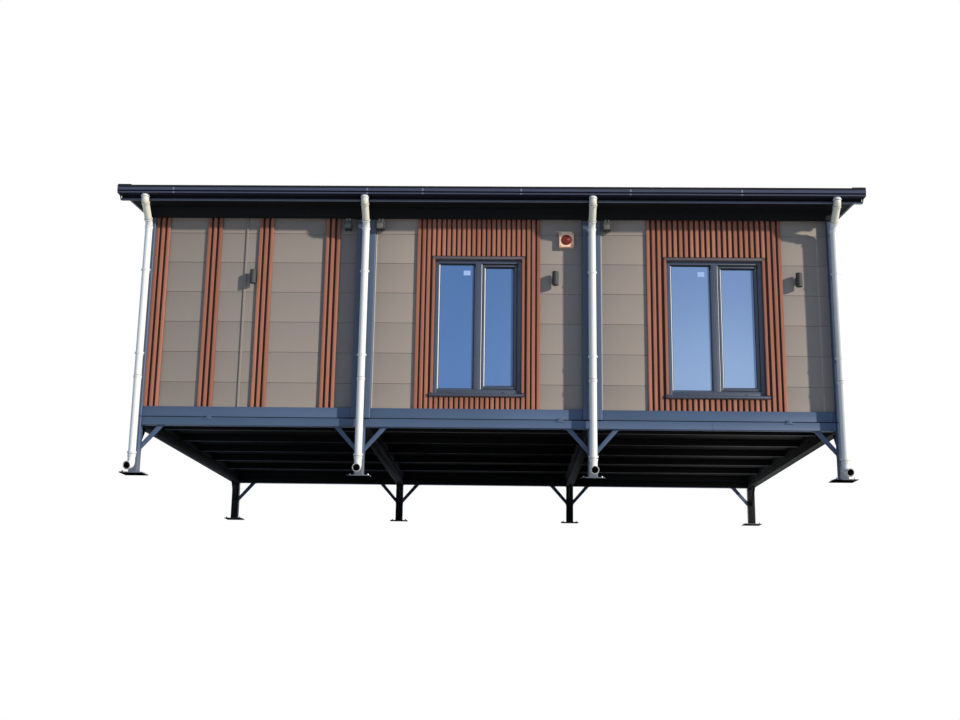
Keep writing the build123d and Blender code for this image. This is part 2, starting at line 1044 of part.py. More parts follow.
def for_windows(make, windows):
    return [piece for window in windows for piece in make(window)]


def both_sides_windows(make):
    """Window pieces of the front, and of the window at the back."""
    return for_windows(make, front_windows) + to_back(for_windows(make, rear_windows))


def front_slats():
    foot = middle_window[2] - 3 * sill_thickness - opening_clearance
    head = middle_window[3] + trim_thickness + opening_clearance
    panels = strip_panels()
    panels += surround_panels(middle_centre, middle_surround_width, head, foot)
    panels += surround_panels(right_centre, right_surround_width, head, foot)
    return panels


def rear_slats():
    foot = right_window[2] - 3 * sill_thickness - opening_clearance
    head = right_window[3] + trim_thickness + opening_clearance
    door_head = door[3] + trim_thickness + opening_clearance
    panels = strip_panels()
    panels += surround_panels(middle_centre, middle_surround_width, door_head, floor_level)
    panels += surround_panels(right_centre, right_surround_width, head, foot)
    return to_back(panels)


def sub_parts():
    """Every sub-part by name, from the ground up."""
    yield "support_posts", front_and_back(post_row())
    yield "foot_plates", front_and_back(foot_plate_row())
    yield "support_beams", front_and_back(support_beam())
    yield "cross_beams", cross_beams()
    yield "knee_braces", front_and_back(facade_braces() + depth_braces())
    yield "bearing_pads", bearing_pads()
    yield "corner_columns", front_and_back(columns_front())
    yield "base_rails", front_and_back(rails_front(rail_bottom, floor_level))
    yield "side_base_rails", rails_outer(rail_bottom, floor_level) + rails_inner(rail_bottom, deck_bottom)
    yield "floor_joists", floor_joists()
    yield "floor_decks", [deck(name) for name in module_spans]
    yield "front_wall", for_modules(wall_core, front_holes)
    yield "rear_wall", to_back(for_modules(wall_core, rear_holes))
    yield "end_walls", at_both_ends(side_core())
    yield "front_cladding", for_modules(cladding, front_holes)
    yield "rear_cladding", to_back(for_modules(cladding, rear_holes))
    yield "end_cladding", [end for course in side_cladding() for end in at_both_ends(course)]
    yield "fluted_slats", front_slats() + rear_slats()
    yield "joiner_trims", front_and_back([joiner_trim()])
    yield "window_frames", both_sides_windows(window_frame)
    yield "window_sashes", both_sides_windows(window_sash)
    yield "window_glass", both_sides_windows(window_glass)
    yield "opening_trims", both_sides_windows(opening_trim) + to_back(opening_trim(door))
    yield "window_sills", both_sides_windows(window_sill)
    yield "door_frame", to_back(door_frame())
    yield "door_leaf", to_back([door_leaf()])
    yield "door_handle", to_back([door_handle()])
    yield "ceilings", [ceiling(name) for name in module_spans]
    yield "top_rails", front_and_back(rails_front(wall_top, frame_top))
    yield "end_top_rails", rails_outer(wall_top, frame_top)
    yield "front_wall_plate", wall_plate_front()
    yield "gable_walls", at_both_ends(gable()) + at_both_ends(eave_end())
    yield "upper_rear_wall", upper_wall_back()
    yield "eave_soffit", soffit_front()
    yield "roof_slab", roof_slab()
    yield "roof_sheet", roof_sheet()
    yield "fascias", [fascia_front(), fascia_back()]
    yield "barge_boards", at_both_ends(barge())
    yield "gutter", gutter()
    yield "downpipes", downpipes()
    yield "pipe_clips", pipe_clips()
    yield "wall_lights", [wall_light(x) for x in light_places()]
    yield "alarm_siren", siren()
    yield "siren_lens", siren_lens()
    yield "flood_lamps", [flood_lamp(x) for x in lamp_places()]


for node, solids in sub_parts():
    save(node, solids)
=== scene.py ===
# %% [markdown]
# # A house of three steel-framed modules on posts
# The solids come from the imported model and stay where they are. This file gives each its
# finish, eases the edges that a press brake or a saw leaves a little round, and adds the
# small parts: pipes, clips, bolts and beads.

# %% Load the solids
from math import atan2, cos, radians, sin, tan

import bmesh
import bpy
from mathutils import Matrix, Vector


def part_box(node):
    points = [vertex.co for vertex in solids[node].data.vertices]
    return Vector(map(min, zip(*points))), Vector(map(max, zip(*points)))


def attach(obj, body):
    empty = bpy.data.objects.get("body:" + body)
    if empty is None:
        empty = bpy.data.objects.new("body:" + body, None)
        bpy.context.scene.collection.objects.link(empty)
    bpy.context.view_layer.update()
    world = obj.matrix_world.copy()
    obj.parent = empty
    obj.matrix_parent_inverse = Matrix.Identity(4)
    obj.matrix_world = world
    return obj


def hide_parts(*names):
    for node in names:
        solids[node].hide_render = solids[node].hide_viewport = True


ops = bmesh.ops

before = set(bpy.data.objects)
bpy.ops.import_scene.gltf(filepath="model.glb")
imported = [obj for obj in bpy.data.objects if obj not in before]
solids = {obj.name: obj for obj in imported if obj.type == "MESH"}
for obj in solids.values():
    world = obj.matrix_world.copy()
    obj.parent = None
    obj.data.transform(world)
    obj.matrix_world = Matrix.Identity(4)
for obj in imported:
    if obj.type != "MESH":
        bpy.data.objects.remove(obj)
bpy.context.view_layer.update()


def placed(name, data):
    """A new object in the scene."""
    made = bpy.data.objects.new(name, data)
    bpy.context.collection.objects.link(made)
    return made


# %% [markdown]
# ## The camera
# The house stands above the viewer, so the camera looks up at it from below the ground
# line. Its place, lens and tilt were worked out from a dozen corners of known size,
# which is surer than turning it by eye.

# %% Set the camera
eye = bpy.data.cameras.new("eye")
eye.lens = 46.31
eye.sensor_width = 36
eye.clip_end = 200
camera = placed("eye", eye)
camera.location = (0.285, -18.768, -2.038)
camera.rotation_euler = (radians(102.812), radians(-0.764), radians(1.2245))
bpy.context.scene.camera = camera
print("camera at", [round(c, 2) for c in camera.location])

# %% [markdown]
# ## Sums inside a material
# A material is a small graph. One class holds a socket and lets plain sums build the Math
# nodes, so `0.4 + 0.2 * grain` makes two of them. A second adds every other node by one
# method, and a third is a material.

# %% A number in a graph, the graph, and the finish that is made of one


def sum_of(operation, swapped=False):
    """A method of Number that adds the Math node for one kind of sum."""

    def method(self, *others):
        values = (*others, self) if swapped else (self, *others)
        return self.graph.node("Math", dict(enumerate(values)), operation=operation)

    return method


class Number:
    """A socket of a graph, which sums can be worked with."""

    def __init__(self, graph, socket):
        self.graph = graph
        self.socket = socket

    __add__ = __radd__ = sum_of("ADD")
    __sub__ = sum_of("SUBTRACT")
    __rsub__ = sum_of("SUBTRACT", swapped=True)
    __mul__ = __rmul__ = sum_of("MULTIPLY")
    __truediv__ = sum_of("DIVIDE")
    __gt__ = sum_of("GREATER_THAN")
    __lt__ = sum_of("LESS_THAN")
    __abs__ = sum_of("ABSOLUTE")
    fraction = sum_of("FRACT")
    whole = sum_of("FLOOR")
    most = sum_of("MAXIMUM")


class Graph:
    """The nodes of a material or of the sky."""

    def __init__(self, tree):
        self.tree = tree

    def node(self, kind, values={}, outlet=0, **settings):
        made = self.tree.nodes.new("ShaderNode" + kind)
        for name, value in settings.items():
            setattr(made, name, value)
        for name, value in values.items():
            self.feed(made.inputs[name], value)
        return Number(self, made.outputs[outlet])

    def feed(self, socket, value):
        if isinstance(value, Number):
            self.tree.links.new(value.socket, socket)
        else:
            socket.default_value = value


class Finish(Graph):
    """A material on the Principled shader, whose patterns are placed in metres on the house."""

    def __init__(self, name, gloss=0.5, **same_all_over):
        self.material = bpy.data.materials.new(name)
        self.material.use_nodes = True
        super().__init__(self.material.node_tree)
        self.shader = self.tree.nodes["Principled BSDF"]
        self.shader.inputs["Specular IOR Level"].default_value = gloss
        for socket, value in same_all_over.items():
            self.shader.inputs[socket].default_value = value
        self.spot = self.node("TexCoord", outlet="Object")
        self.x, self.y, self.z = (
            self.node("SeparateXYZ", {"Vector": self.spot}, axis) for axis in "XYZ"
        )

    def noise(self, scale, detail=2, stretch=(1, 1, 1)):
        """Soft noise from 0 to 1. A stretch under 1 along an axis draws it out that way."""
        spot = self.node("Mapping", {"Vector": self.spot, "Scale": stretch})
        values = {"Vector": spot, "Scale": scale, "Detail": detail}
        return self.node("TexNoise", values, "Fac")

    def chance(self, across, up):
        """A value from 0 to 1 that is even over each cell of a grid."""
        cell = self.node("CombineXYZ", {"X": across, "Y": up[0], "Z": up[1]})
        return self.node("TexWhiteNoise", {"Vector": cell}, noise_dimensions="3D")

    def band(self, value, low, high):
        """0 below low, 1 above high and a smooth climb between."""
        values = {"Value": value, "From Min": low, "From Max": high}
        return self.node("MapRange", values, "Result", interpolation_type="SMOOTHSTEP")

    def blend(self, amount, first, second):
        """A mix of two colours, each a node's or one as a screen gives it."""
        colours = [tone(*c) if isinstance(c, tuple) else c for c in (first, second)]
        values = {0: amount, 6: colours[0], 7: colours[1]}
        return self.node("Mix", values, 2, data_type="RGBA")

    def paint(self, colour):
        self.feed(self.shader.inputs["Base Color"], colour)

    def sheen(self, roughness):
        self.feed(self.shader.inputs["Roughness"], roughness)

    def relief(self, height, depth, strength=0.5):
        values = {"Strength": strength, "Distance": depth, "Height": height}
        self.feed(self.shader.inputs["Normal"], self.node("Bump", values, "Normal"))


def tone(red, green, blue):
    """A colour as a screen gives it, 0 to 255, turned to the light that a shader works in."""
    shares = [value / 255 for value in (red, green, blue)]
    light = [s / 12.92 if s <= 0.04045 else ((s + 0.055) / 1.055) ** 2.4 for s in shares]
    return (*light, 1)


print("mid grey as light:", round(tone(128, 128, 128)[0], 3))

# %% [markdown]
# ## Floor and light
# A floor seen from below would hide the posts, so its lower side is clear to the camera
# and its upper side is pale paint that keeps the shadow. One lamp is the low sun to the
# right of the front, a blue sky fills the shade, and a weak lamp lights the back.

# %% Lay the floor
pale = Finish("pale_floor", Roughness=0.8)
pale.paint(pale.blend(pale.noise(0.35), (206, 205, 202), (214, 213, 210)))
clear = pale.node("BsdfTransparent")
underside = pale.node("NewGeometry", outlet="Backfacing")
seen = pale.node("LightPath", outlet="Is Camera Ray")
painted = Number(pale, pale.shader.outputs[0])
either = pale.node("MixShader", {0: underside * seen, 1: painted, 2: clear})
pale.feed(pale.tree.nodes["Material Output"].inputs["Surface"], either)

ground = bmesh.new()
ops.create_grid(ground, x_segments=2, y_segments=2, size=45)
ground_mesh = bpy.data.meshes.new("floor")
ground.to_mesh(ground_mesh)
ground.free()
floor = placed("floor", ground_mesh)
floor.data.materials.append(pale.material)
print("floor laid, 90 m across")

# %% Light it
world = bpy.data.worlds.new("sky")
bpy.context.scene.world = world
world.use_nodes = True
sky = Graph(world.node_tree)
background = sky.tree.nodes["Background"]
background.inputs["Color"].default_value = (0.30, 0.58, 1, 1)
background.inputs["Strength"].default_value = 0.5
white = sky.node("Background", {"Color": (1, 1, 1, 1), "Strength": 1})
to_camera, from_gloss, through_glass = (
    sky.node("LightPath", outlet=ray)
    for ray in ("Is Camera Ray", "Is Glossy Ray", "Is Transmission Ray")
)
looks_white = to_camera.most(from_gloss).most(through_glass)
fill = Number(sky, background.outputs[0])
choice = sky.node("MixShader", {0: looks_white, 1: fill, 2: white})
sky.feed(sky.tree.nodes["World Output"].inputs["Surface"], choice)


def far_lamp(name, power, spread, colour, heading):
    """A lamp so far off that its rays run side by side, as the sun's do."""
    light = bpy.data.lights.new(name, "SUN")
    light.energy = power
    light.angle = radians(spread)
    light.color = colour
    lamp = placed(name, light)
    lamp.rotation_euler = Vector(heading).to_track_quat("-Z", "Y").to_euler()
    print(name, "power", power)


far_lamp("low_sun", 5.1, 1.8, (1, 0.925, 0.8), (-0.862, 0.507, -0.37))
far_lamp("back_lamp", 1.2, 20, (1, 1, 1), (0, -0.87, -0.5))
bpy.context.scene.view_settings.view_transform = "Standard"

# %% [markdown]
# ## Steel paint
# The frame has a satin blue-grey factory paint. A sprayed coat clouds a little over a
# metre, has a fine orange peel and picks up dust at the feet, so noise at three sizes
# gives it. Under the floor the beams are painted almost black as shade.

# %% Steel paint
steel = Finish("steel_paint", 0.25)
cloud = steel.noise(0.9, 3)
dust = steel.band(steel.z + 0.5 * steel.noise(3, 4), 0.75, 0.25)
on_columns = (steel.z > 0.892) * (abs(steel.y) > 2.955)
# Painted shade: the front top rails under the eave are painted nearly black.
eave_painted_shade = (steel.z > 3.44) * (steel.y < -2.95) * (abs(steel.x) < 4.48)
# Painted shade: steel inside the footprint and below the floor is painted almost black, and
# rougher.
below_floor = (steel.z < 0.757).most((abs(steel.x) < 4.56) * (steel.z < 0.95))
underfloor_painted_shade = (abs(steel.y) < 2.965) * (abs(steel.x) < 4.6) * below_floor
coat = steel.blend(cloud, (64, 80, 105), (76, 94, 123))
coat = steel.blend(0.6 * on_columns, coat, (70, 80, 98))
coat = steel.blend(eave_painted_shade, coat, (20, 23, 29))
coat = steel.blend(0.3 * dust, coat, (128, 122, 112))
steel.paint(steel.blend(underfloor_painted_shade, coat, (8, 9, 10)))
steel.sheen(0.38 + 0.14 * cloud + 0.1 * dust + 0.25 * underfloor_painted_shade)
steel.relief(steel.noise(70), 0.0004)
print("steel paint ready")

# %% [markdown]
# ## Wall panels
# Fibre board with a matt taupe coating. Each board differs a shade from the next by a
# random value for its course and bay, faint streaks run down from the joints, and the
# boards of the left module are painted a little darker as shade.

# %% Panel coating
course_height, bay_width = 0.41, 1.45
panel = Finish("panel_coating", 0.08)
course = ((panel.z - 0.81) / course_height).whole()
shade = panel.chance((panel.x / bay_width).whole(), (course, 1))
grain = panel.noise(140, 3)
streak = panel.noise(5, 3, (1, 1, 0.12))
# Painted shade: the boards of the left module below 3.49 m are painted darker.
left_painted_shade = (panel.x < -1.6) * (panel.z < 3.49)
low_dust = panel.band(panel.z + 0.12 * panel.noise(2, 4), 1.1, 0.9)
# Painted shade: panel faces above 3.6 m in front of the wall line, under the eave, are painted
# almost black.
eave_end_painted_shade = (panel.z > 3.6) * (panel.y < -3.05)
board = panel.blend(0.3 * shade + 0.4 * streak, (150, 140, 132), (141, 130, 122))
board = panel.blend(0.5 * left_painted_shade, board, (126, 118, 113))
board = panel.blend(0.12 * low_dust, board, (176, 164, 146))
board = panel.blend(0.2 * grain, board, (118, 108, 101))
panel.paint(panel.blend(eave_end_painted_shade, board, (16, 18, 24)))
panel.sheen(0.58 + 0.14 * grain)
panel.relief(grain, 0.0004)
print("panel coating ready")

# %% [markdown]
# ## Wood-plastic slats
# The strips are extruded from wood flour and plastic, so grain and colour run the whole
# height of a rib: noise drawn out along Z gives the streaks, and a slower one makes rib
# differ from rib. Between the ribs the profile is painted almost black as shade.

# %% Slat composite
slat = Finish("slat_composite", 0.25)
rib_tint = slat.noise(11, 1, (1, 1, 0.02))
fibre = slat.noise(160, 3, (1, 1, 0.015))
fleck = slat.noise(420, 2, (1, 1, 0.15))
# Painted shade: the groove floors and the deep parts of the rib sides are painted almost black.
slat_groove_shade = slat.band(abs(slat.y), 3.022, 3.011) * slat.band(abs(slat.y), 2.9, 3)
body = slat.blend(slat.band(rib_tint, 0.3, 0.7), (144, 90, 71), (164, 108, 88))
body = slat.blend(0.45 * slat.band(fibre, 0.35, 0.75), body, (110, 68, 56))
body = slat.blend(0.2 * slat.band(fleck, 0.5, 0.75), body, (182, 126, 104))
slat.paint(slat.blend(0.92 * slat_groove_shade, body, (44, 25, 21)))
slat.sheen(0.55 + 0.2 * fibre)
slat.relief(fibre + 0.5 * fleck, 0.0006, 0.7)
print("slat composite ready")

# %% [markdown]
# ## Lining round the openings
# The same composite, planed flat. Over a window or door its face is painted a dull
# brown-grey as shade, so the finish changes at the height of the head.

# %% Lining boards
front_head, rear_head = 2.9212, 3.0015
lining = Finish("lining_board", 0.25)
grain_line = lining.noise(150, 3, (1, 1, 0.02))
# Painted shade: the lining above each window and door head is painted brown-grey.
head_painted_shade = ((lining.z > front_head) * (lining.y < 0)).most(lining.z > rear_head)
tint = 0.6 * grain_line + 0.3 * lining.noise(3)
wooden = lining.blend(tint, (158, 102, 82), (118, 72, 58))
lining.paint(lining.blend(head_painted_shade, wooden, (88, 80, 84)))
lining.sheen(0.5 + 0.15 * grain_line)
lining.relief(grain_line, 0.0005, 0.6)
print("lining ready")

# %% [markdown]
# ## Gutter coating
# The gutter's lit faces read as slate. Its grooves, underside and top bead are painted
# black as shade, in lines that follow height, so they stay sharp at any distance.

# %% Gutter coating
trough = Finish("gutter_coating", 0.2)
drift = trough.noise(1.1, 3)
# Painted shade: the lower groove, the underside and the top bead are black, all but the inside
# of the trough.
lower_groove = (trough.z > 3.6845) * (trough.z < 3.7030)
gutter_painted_shade = lower_groove.most(trough.z < 3.6664).most(trough.z > 3.7428)
inside_trough = (trough.y > -3.4665) * (trough.z > 3.6675)
gutter_painted_shade = (gutter_painted_shade - inside_trough).most(0)
slate = trough.blend(drift, (52, 58, 76), (62, 69, 90))
trough.paint(trough.blend(0.9 * gutter_painted_shade, slate, (9, 11, 17)))
trough.sheen(0.4 + 0.12 * drift + 0.1 * gutter_painted_shade)
trough.relief(trough.noise(60, 2, (0.2, 1, 1)), 0.0003, 0.4)
print("gutter coating ready")

# %% [markdown]
# ## Other finishes
# The rest are thinner jobs: a colour that wanders, and a roughness that follows the same
# noise so that highlights break up.

# %% A short way to make them
FINE = 0.0003


def coated(name, first, second, scale, rough, gloss=0.5, stretch=(1, 1, 1), metal=0):
    """A coat that wanders between two colours, with the same noise in its gloss and a finer one
    in its relief.
    """
    coat = Finish(name, gloss, Metallic=metal)
    drift = coat.noise(scale, 3, stretch)
    coat.paint(coat.blend(drift, first, second))
    coat.sheen(rough + 0.12 * drift)
    coat.relief(coat.noise(scale * 40, 2, stretch), FINE)
    return coat


upright = (1, 1, 0.05)
foot = coated("foot_steel", (74, 84, 102), (94, 100, 110), 4, 0.45)
inside = coated("interior_white", (222, 221, 217), (230, 229, 226), 1.5, 0.75)
rubber = coated("pad_rubber", (10, 11, 12), (17, 17, 19), 8, 0.85, 0.2)
foil = coated("anthracite_foil", (50, 60, 78), (60, 71, 92), 2, 0.4)
# Painted highlight: a pale strip on the left slope of each jamb.
jamb_highlight = coated("jamb_painted_highlight", (166, 170, 178), (178, 182, 189), 12, 0.5, 0.3)
seal = coated("window_gasket", (9, 10, 12), (15, 16, 18), 20, 0.7, 0.2)
sill_coat = coated("sill_coating", (48, 57, 76), (58, 68, 88), 2, 0.38)
door_coat = coated("door_coating", (56, 64, 78), (64, 73, 88), 1.2, 0.4)
brushed = coated("brushed_steel", (170, 172, 174), (190, 192, 194), 9, 0.3, 0.5, upright, 1)
eave = coated("eave_metal", (28, 35, 52), (36, 44, 64), 1.1, 0.42, 0.3)
# Painted shade: the fascias and their end plates are painted almost black, for the shade under
# the gutter.
fascia = coated("fascia_painted_shade", (10, 12, 18), (14, 17, 24), 1.1, 0.6, 0.08)
# Painted highlight: the fascia drip and the gutter sleeves are painted much paler than the rest
# of the roof edge.
drip_highlight = coated("drip_painted_highlight", (98, 104, 118), (108, 114, 128), 1.1, 0.42, 0.35)
sheet = coated("sheet_coating", (70, 78, 90), (84, 92, 104), 0.8, 0.45)
# Painted shade: the roof slab's faces under the eaves and the apron edging are painted almost
# black.
slab = coated("slab_painted_shade", (8, 9, 11), (13, 14, 17), 2, 0.75, 0.2)
joint_grey = coated("socket_joint", (84, 86, 90), (98, 100, 104), 30, 0.7, 0.2)
# Painted shade: the inside of each pipe mouth is painted almost black.
bore_shade = coated("pipe_bore_painted_shade", (8, 8, 9), (14, 14, 15), 20, 0.8, 0.1)
grey = coated("light_coating", (50, 51, 54), (60, 61, 64), 6, 0.55, 0.25)
pearl = coated("lamp_glass", (86, 85, 83), (100, 98, 94), 30, 0.4, 0.25)
shell = coated("siren_shell", (236, 190, 160), (244, 202, 170), 6, 0.5, 0.3)
red = coated("siren_lens", (98, 24, 14), (118, 32, 20), 12, 0.42, 0.3)
bare = coated("bare_aluminium", (176, 174, 172), (190, 188, 186), 6, 0.4, 0.4, upright)
zinc = coated("zinc_bolt", (150, 154, 158), (176, 180, 184), 40, 0.35, metal=0.9)
tag = coated("pane_film", (146, 172, 214), (158, 183, 222), 30, 0.6, 0.2)
print("plain finishes ready")

# %% [markdown]
# ## Finishes that change with place
# The glazing beads are painted black as shade under the head of the window, the pipes
# creamier where they bend back under the eave, and the flood lamps paler at their rims.

# %% Beads, pipes and lamps
# Painted shade: the beads above this height, under the window head, are painted black.
bead_shade_from = 2.815
bead = Finish("bead_foil", Roughness=0.45)
bead_body = bead.blend(bead.noise(6, 3), (62, 70, 86), (74, 82, 98))
bead.paint(bead.blend(bead.z > bead_shade_from, bead_body, (14, 15, 19)))
bead.relief(bead.noise(240), FINE)

plastic = Finish("pipe_plastic", 0.3)
flow_marks = plastic.noise(1.8, 3)
offset_run = plastic.band(plastic.z, 3.36, 3.375) * plastic.band(plastic.z, 3.615, 3.6)
white_pipe = plastic.blend(flow_marks, (204, 204, 201), (216, 216, 213))
plastic.paint(plastic.blend(offset_run, white_pipe, (204, 200, 184)))
plastic.sheen(0.3 + 0.12 * flow_marks)
plastic.relief(plastic.noise(70), FINE)

black = Finish("lamp_coating", 0.25, Roughness=0.5)
mottle = black.noise(6, 3)
box_coat = black.blend(mottle, (40, 43, 48), (50, 53, 58))
rim_coat = black.blend(mottle, (62, 62, 63), (72, 71, 70))
black.paint(black.blend((black.y < -3.1515) * (black.y > -3.2), box_coat, rim_coat))
black.relief(black.noise(240), FINE)
print("placed finishes ready")

# %% [markdown]
# ## Boards under the eaves and joists under the floor
# Both lie in shade and are nearly black. The boards show a fine seam every 200 mm. The
# joists are painted almost black as shade, all but their lower flanges, which stay a
# paler grey that varies with noise and show as thin lines under the house.

# %% Boards and joists
board_width, flange_top = 0.2, 0.757
boards = Finish("soffit_board", 0.15)
seams = abs((boards.x / board_width).fraction() - 0.5) > 0.487
haze = boards.noise(1.4, 3)
hazy = boards.blend(haze, (12, 12, 14), (18, 18, 21))
boards.paint(boards.blend(0.7 * seams, hazy, (4, 4, 5)))
boards.sheen(0.7 + 0.1 * haze)
boards.relief(0 - seams, 0.002, 0.6)

joist = Finish("joist_coating", 0.15)
flange_mottle = joist.noise(3, 4, (0.2, 1, 1))
# Painted shade: the joists are painted almost black, all but their lower flanges.
flange = (joist.z < flange_top) * (0.55 + 0.45 * flange_mottle)
joist.paint(joist.blend(flange, (13, 13, 15), (104, 106, 111)))
joist.sheen(0.7 - 0.1 * flange_mottle)
joist.relief(flange_mottle, 0.0006)
print("boards and joists ready")

# %% [markdown]
# ## Window glass
# From below, the panes mirror a clear sky: deep blue on the left, paler to the right and
# near the bottom. White light would leave them grey, so this sky is a painted reflection
# in the glass colour.

# %% Pane glass
pane = Finish("pane_glass", Roughness=0.04, IOR=1.5, Alpha=0.92)
ripple = pane.noise(0.8)
climb = pane.band(pane.z + 0.15 * ripple, 1.15, 2.95)
across = pane.band(pane.x + 0.2 * ripple, -0.4, 3.4)
top_sky_reflection = pane.blend(across, (66, 107, 163), (106, 137, 184))
low_sky_reflection = pane.blend(across, (75, 117, 173), (138, 166, 205))
pane.paint(pane.blend(climb, low_sky_reflection, top_sky_reflection))
print("pane glass ready")

# %% [markdown]
# ## Floor of the rooms
# A strip of plank flooring shows through a window. Its boards run along X with staggered
# ends. Seen from under the house the same slab is painted almost black as shade.

# %% Plank floor
plank_width, plank_length, stagger = 0.19, 1.3, 0.37
plank = Finish("plank_floor")
row = (plank.y / plank_width).whole()
end = plank.x / plank_length + stagger * row
pick = plank.chance(end.whole(), (row, 0))
vein = plank.noise(30, 4, (0.06, 1, 1))
long_seam = abs((plank.y / plank_width).fraction() - 0.5) > 0.49
seam = long_seam.most(abs(end.fraction() - 0.5) > 0.498)
# Painted shade: the slab below 0.888 m, its underside, is painted almost black.
underside_painted_shade = plank.z < 0.888
wood = plank.blend(0.6 * pick + 0.4 * vein, (158, 128, 96), (190, 162, 128))
laid = plank.blend(0.7 * seam, wood, (70, 54, 40))
plank.paint(plank.blend(underside_painted_shade, laid, (16, 16, 17)))
plank.sheen(0.4 + 0.15 * vein + 0.3 * underside_painted_shade)
plank.relief(vein - seam, 0.0006)
print("plank floor ready")

# %% [markdown]
# ## Finishes onto the solids
# This is the schedule that a paint shop would get: the finish, its slot in the record,
# and the parts that take it.

# %% The paint schedule
schedule = [
    (steel, "frame_steel", "support_posts support_beams cross_beams knee_braces corner_columns "
     "base_rails side_base_rails top_rails end_top_rails"),
    (foot, "foot_steel", "foot_plates"),
    (panel, "cladding", "front_cladding rear_cladding end_cladding joiner_trims gable_walls "
     "upper_rear_wall"),
    (slat, "slats", "fluted_slats"),
    (lining, "slats", "opening_trims"),
    (inside, "wall_core", "front_wall rear_wall end_walls ceilings"),
    (joist, "joists", "floor_joists"),
    (rubber, "pads", "bearing_pads"),
    (plank, "floor", "floor_decks"),
    (foil, "window_frame", "window_frames window_sashes"),
    (sill_coat, "sill", "window_sills"),
    (pane, "glass", "window_glass"),
    (door_coat, "door", "door_frame door_leaf"),
    (brushed, "handle", "door_handle"),
    (fascia, "roof_edge", "fascias"),
    (eave, "roof_edge", "barge_boards"),
    (trough, "roof_edge", "gutter"),
    (boards, "soffit", "eave_soffit front_wall_plate"),
    (slab, "roof_core", "roof_slab"),
    (sheet, "roof_sheet", "roof_sheet"),
    (plastic, "pipe_white", "downpipes pipe_clips"),
    (grey, "lamp_black", "wall_lights"),
    (black, "lamp_black", "flood_lamps"),
    (shell, "siren_white", "alarm_siren"),
    (red, "siren_red", "siren_lens"),
]
coat_of = {}
for finish, slot, nodes in schedule:
    for node in nodes.split():
        coat_of[node] = (finish.material, slot)
for node, solid in solids.items():
    solid.data.materials.clear()
    solid.data.materials.append(coat_of[node][0])
print("finished solids:", len(coat_of), "of", len(solids))

# %% [markdown]
# ## Eased edges
# A folded sheet, a rolled section and a sawn board all turn their corners on a small
# radius, and that thin line of light makes them look made. A copy of the solid is cleaned
# to whole flat faces, then a Bevel modifier rounds what is sharper than 30 degrees.

# %% Ease the edges of a solid


def eased(node, width):
    """A copy of a solid with its edges rounded, which stands for it."""
    mesh = solids[node].data.copy()
    body = bmesh.new()
    body.from_mesh(mesh)
    ops.remove_doubles(body, verts=body.verts, dist=0.00002)
    ops.dissolve_limit(body, angle_limit=radians(1), verts=body.verts, edges=body.edges)
    body.to_mesh(mesh)
    body.free()
    mesh.shade_smooth()
    material, slot = coat_of[node]
    mesh.materials.clear()
    mesh.materials.append(material)
    piece = placed(node + "_eased", mesh)
    edge = piece.modifiers.new("edge", "BEVEL")
    edge.width = width
    edge.segments = 2
    edge.limit_method = "ANGLE"
    edge.angle_limit = radians(30)
    edge.harden_normals = True
    edge.use_clamp_overlap = True
    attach(piece, "root")
    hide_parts(node)


radii = {
    0.006: "support_beams cross_beams base_rails side_base_rails",
    0.005: "top_rails end_top_rails",
    0.004: "knee_braces window_sashes floor_joists",
    0.003: "window_frames window_sills door_frame door_leaf fascias",
    0.002: "fluted_slats joiner_trims opening_trims eave_soffit foot_plates",
    0.0015: "front_cladding rear_cladding end_cladding",
}
for width, nodes in radii.items():
    for node in nodes.split():
        eased(node, width)
    print("eased by", width, "m:", nodes)

# %% [markdown]
# ## Putting a new piece in place
# Each new part is built in a bmesh, a bench where vertices and faces can be spun, pushed
# and bevelled. It is drawn in millimetres and becomes a mesh in metres that rides on the
# house and takes the finish it is given.

# %% From the bench to the house
VERT, EDGE = bmesh.types.BMVert, bmesh.types.BMEdge


def only(kind, geometry):
    return [item for item in geometry if isinstance(item, kind)]


def at(x, y, z):
    return Matrix.Translation((x, y, z))


def facing(point, direction):
    """A place at a point, with the part's own Z in a direction."""
    return at(*point) @ Vector(direction).to_track_quat("Z", "Y").to_matrix().to_4x4()


def fitted(name, body, finish, slot, *nodes, sharp=35):
    """Turns a bmesh into a piece of the house, smooth but for edges over the sharp angle."""
    for vert in body.verts:
        vert.co = vert.co / 1000
    mesh = bpy.data.meshes.new(name)
    body.to_mesh(mesh)
    body.free()
    mesh.shade_smooth()
    mesh.set_sharp_from_angle(angle=radians(sharp))
    mesh.materials.append(finish.material)
    piece = placed(name, mesh)
    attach(piece, "root")
    if nodes:
        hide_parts(*nodes)
    print(name, "faces:", len(mesh.polygons))


def outward(part):
    """Turns all faces outward."""
    ops.recalc_face_normals(part, faces=part.faces)
    return part


def laid_in(whole, part, place=Matrix.Identity(4), side=-1):
    """Adds one bmesh to another at a place, in front or, for side 1, at the back."""
    ops.transform(part, matrix=place, verts=part.verts)
    if side > 0:
        ops.scale(part, vec=(1, -1, 1), verts=part.verts)
        outward(part)
    mesh = bpy.data.meshes.new("bench")
    part.to_mesh(mesh)
    part.free()
    whole.from_mesh(mesh)
    bpy.data.meshes.remove(mesh)


def turned(profile, steps=32):
    """A part as from a lathe: radius and height pairs, spun once round Z."""
    part = bmesh.new()
    points = [part.verts.new((radius, 0, height)) for radius, height in profile]
    edges = [part.edges.new(pair) for pair in zip(points, points[1:])]
    ops.spin(part, geom=points + edges, axis=(0, 0, 1), angle=radians(360), steps=steps,
             use_merge=True)
    ops.remove_doubles(part, verts=part.verts, dist=0.005)
    return outward(part)


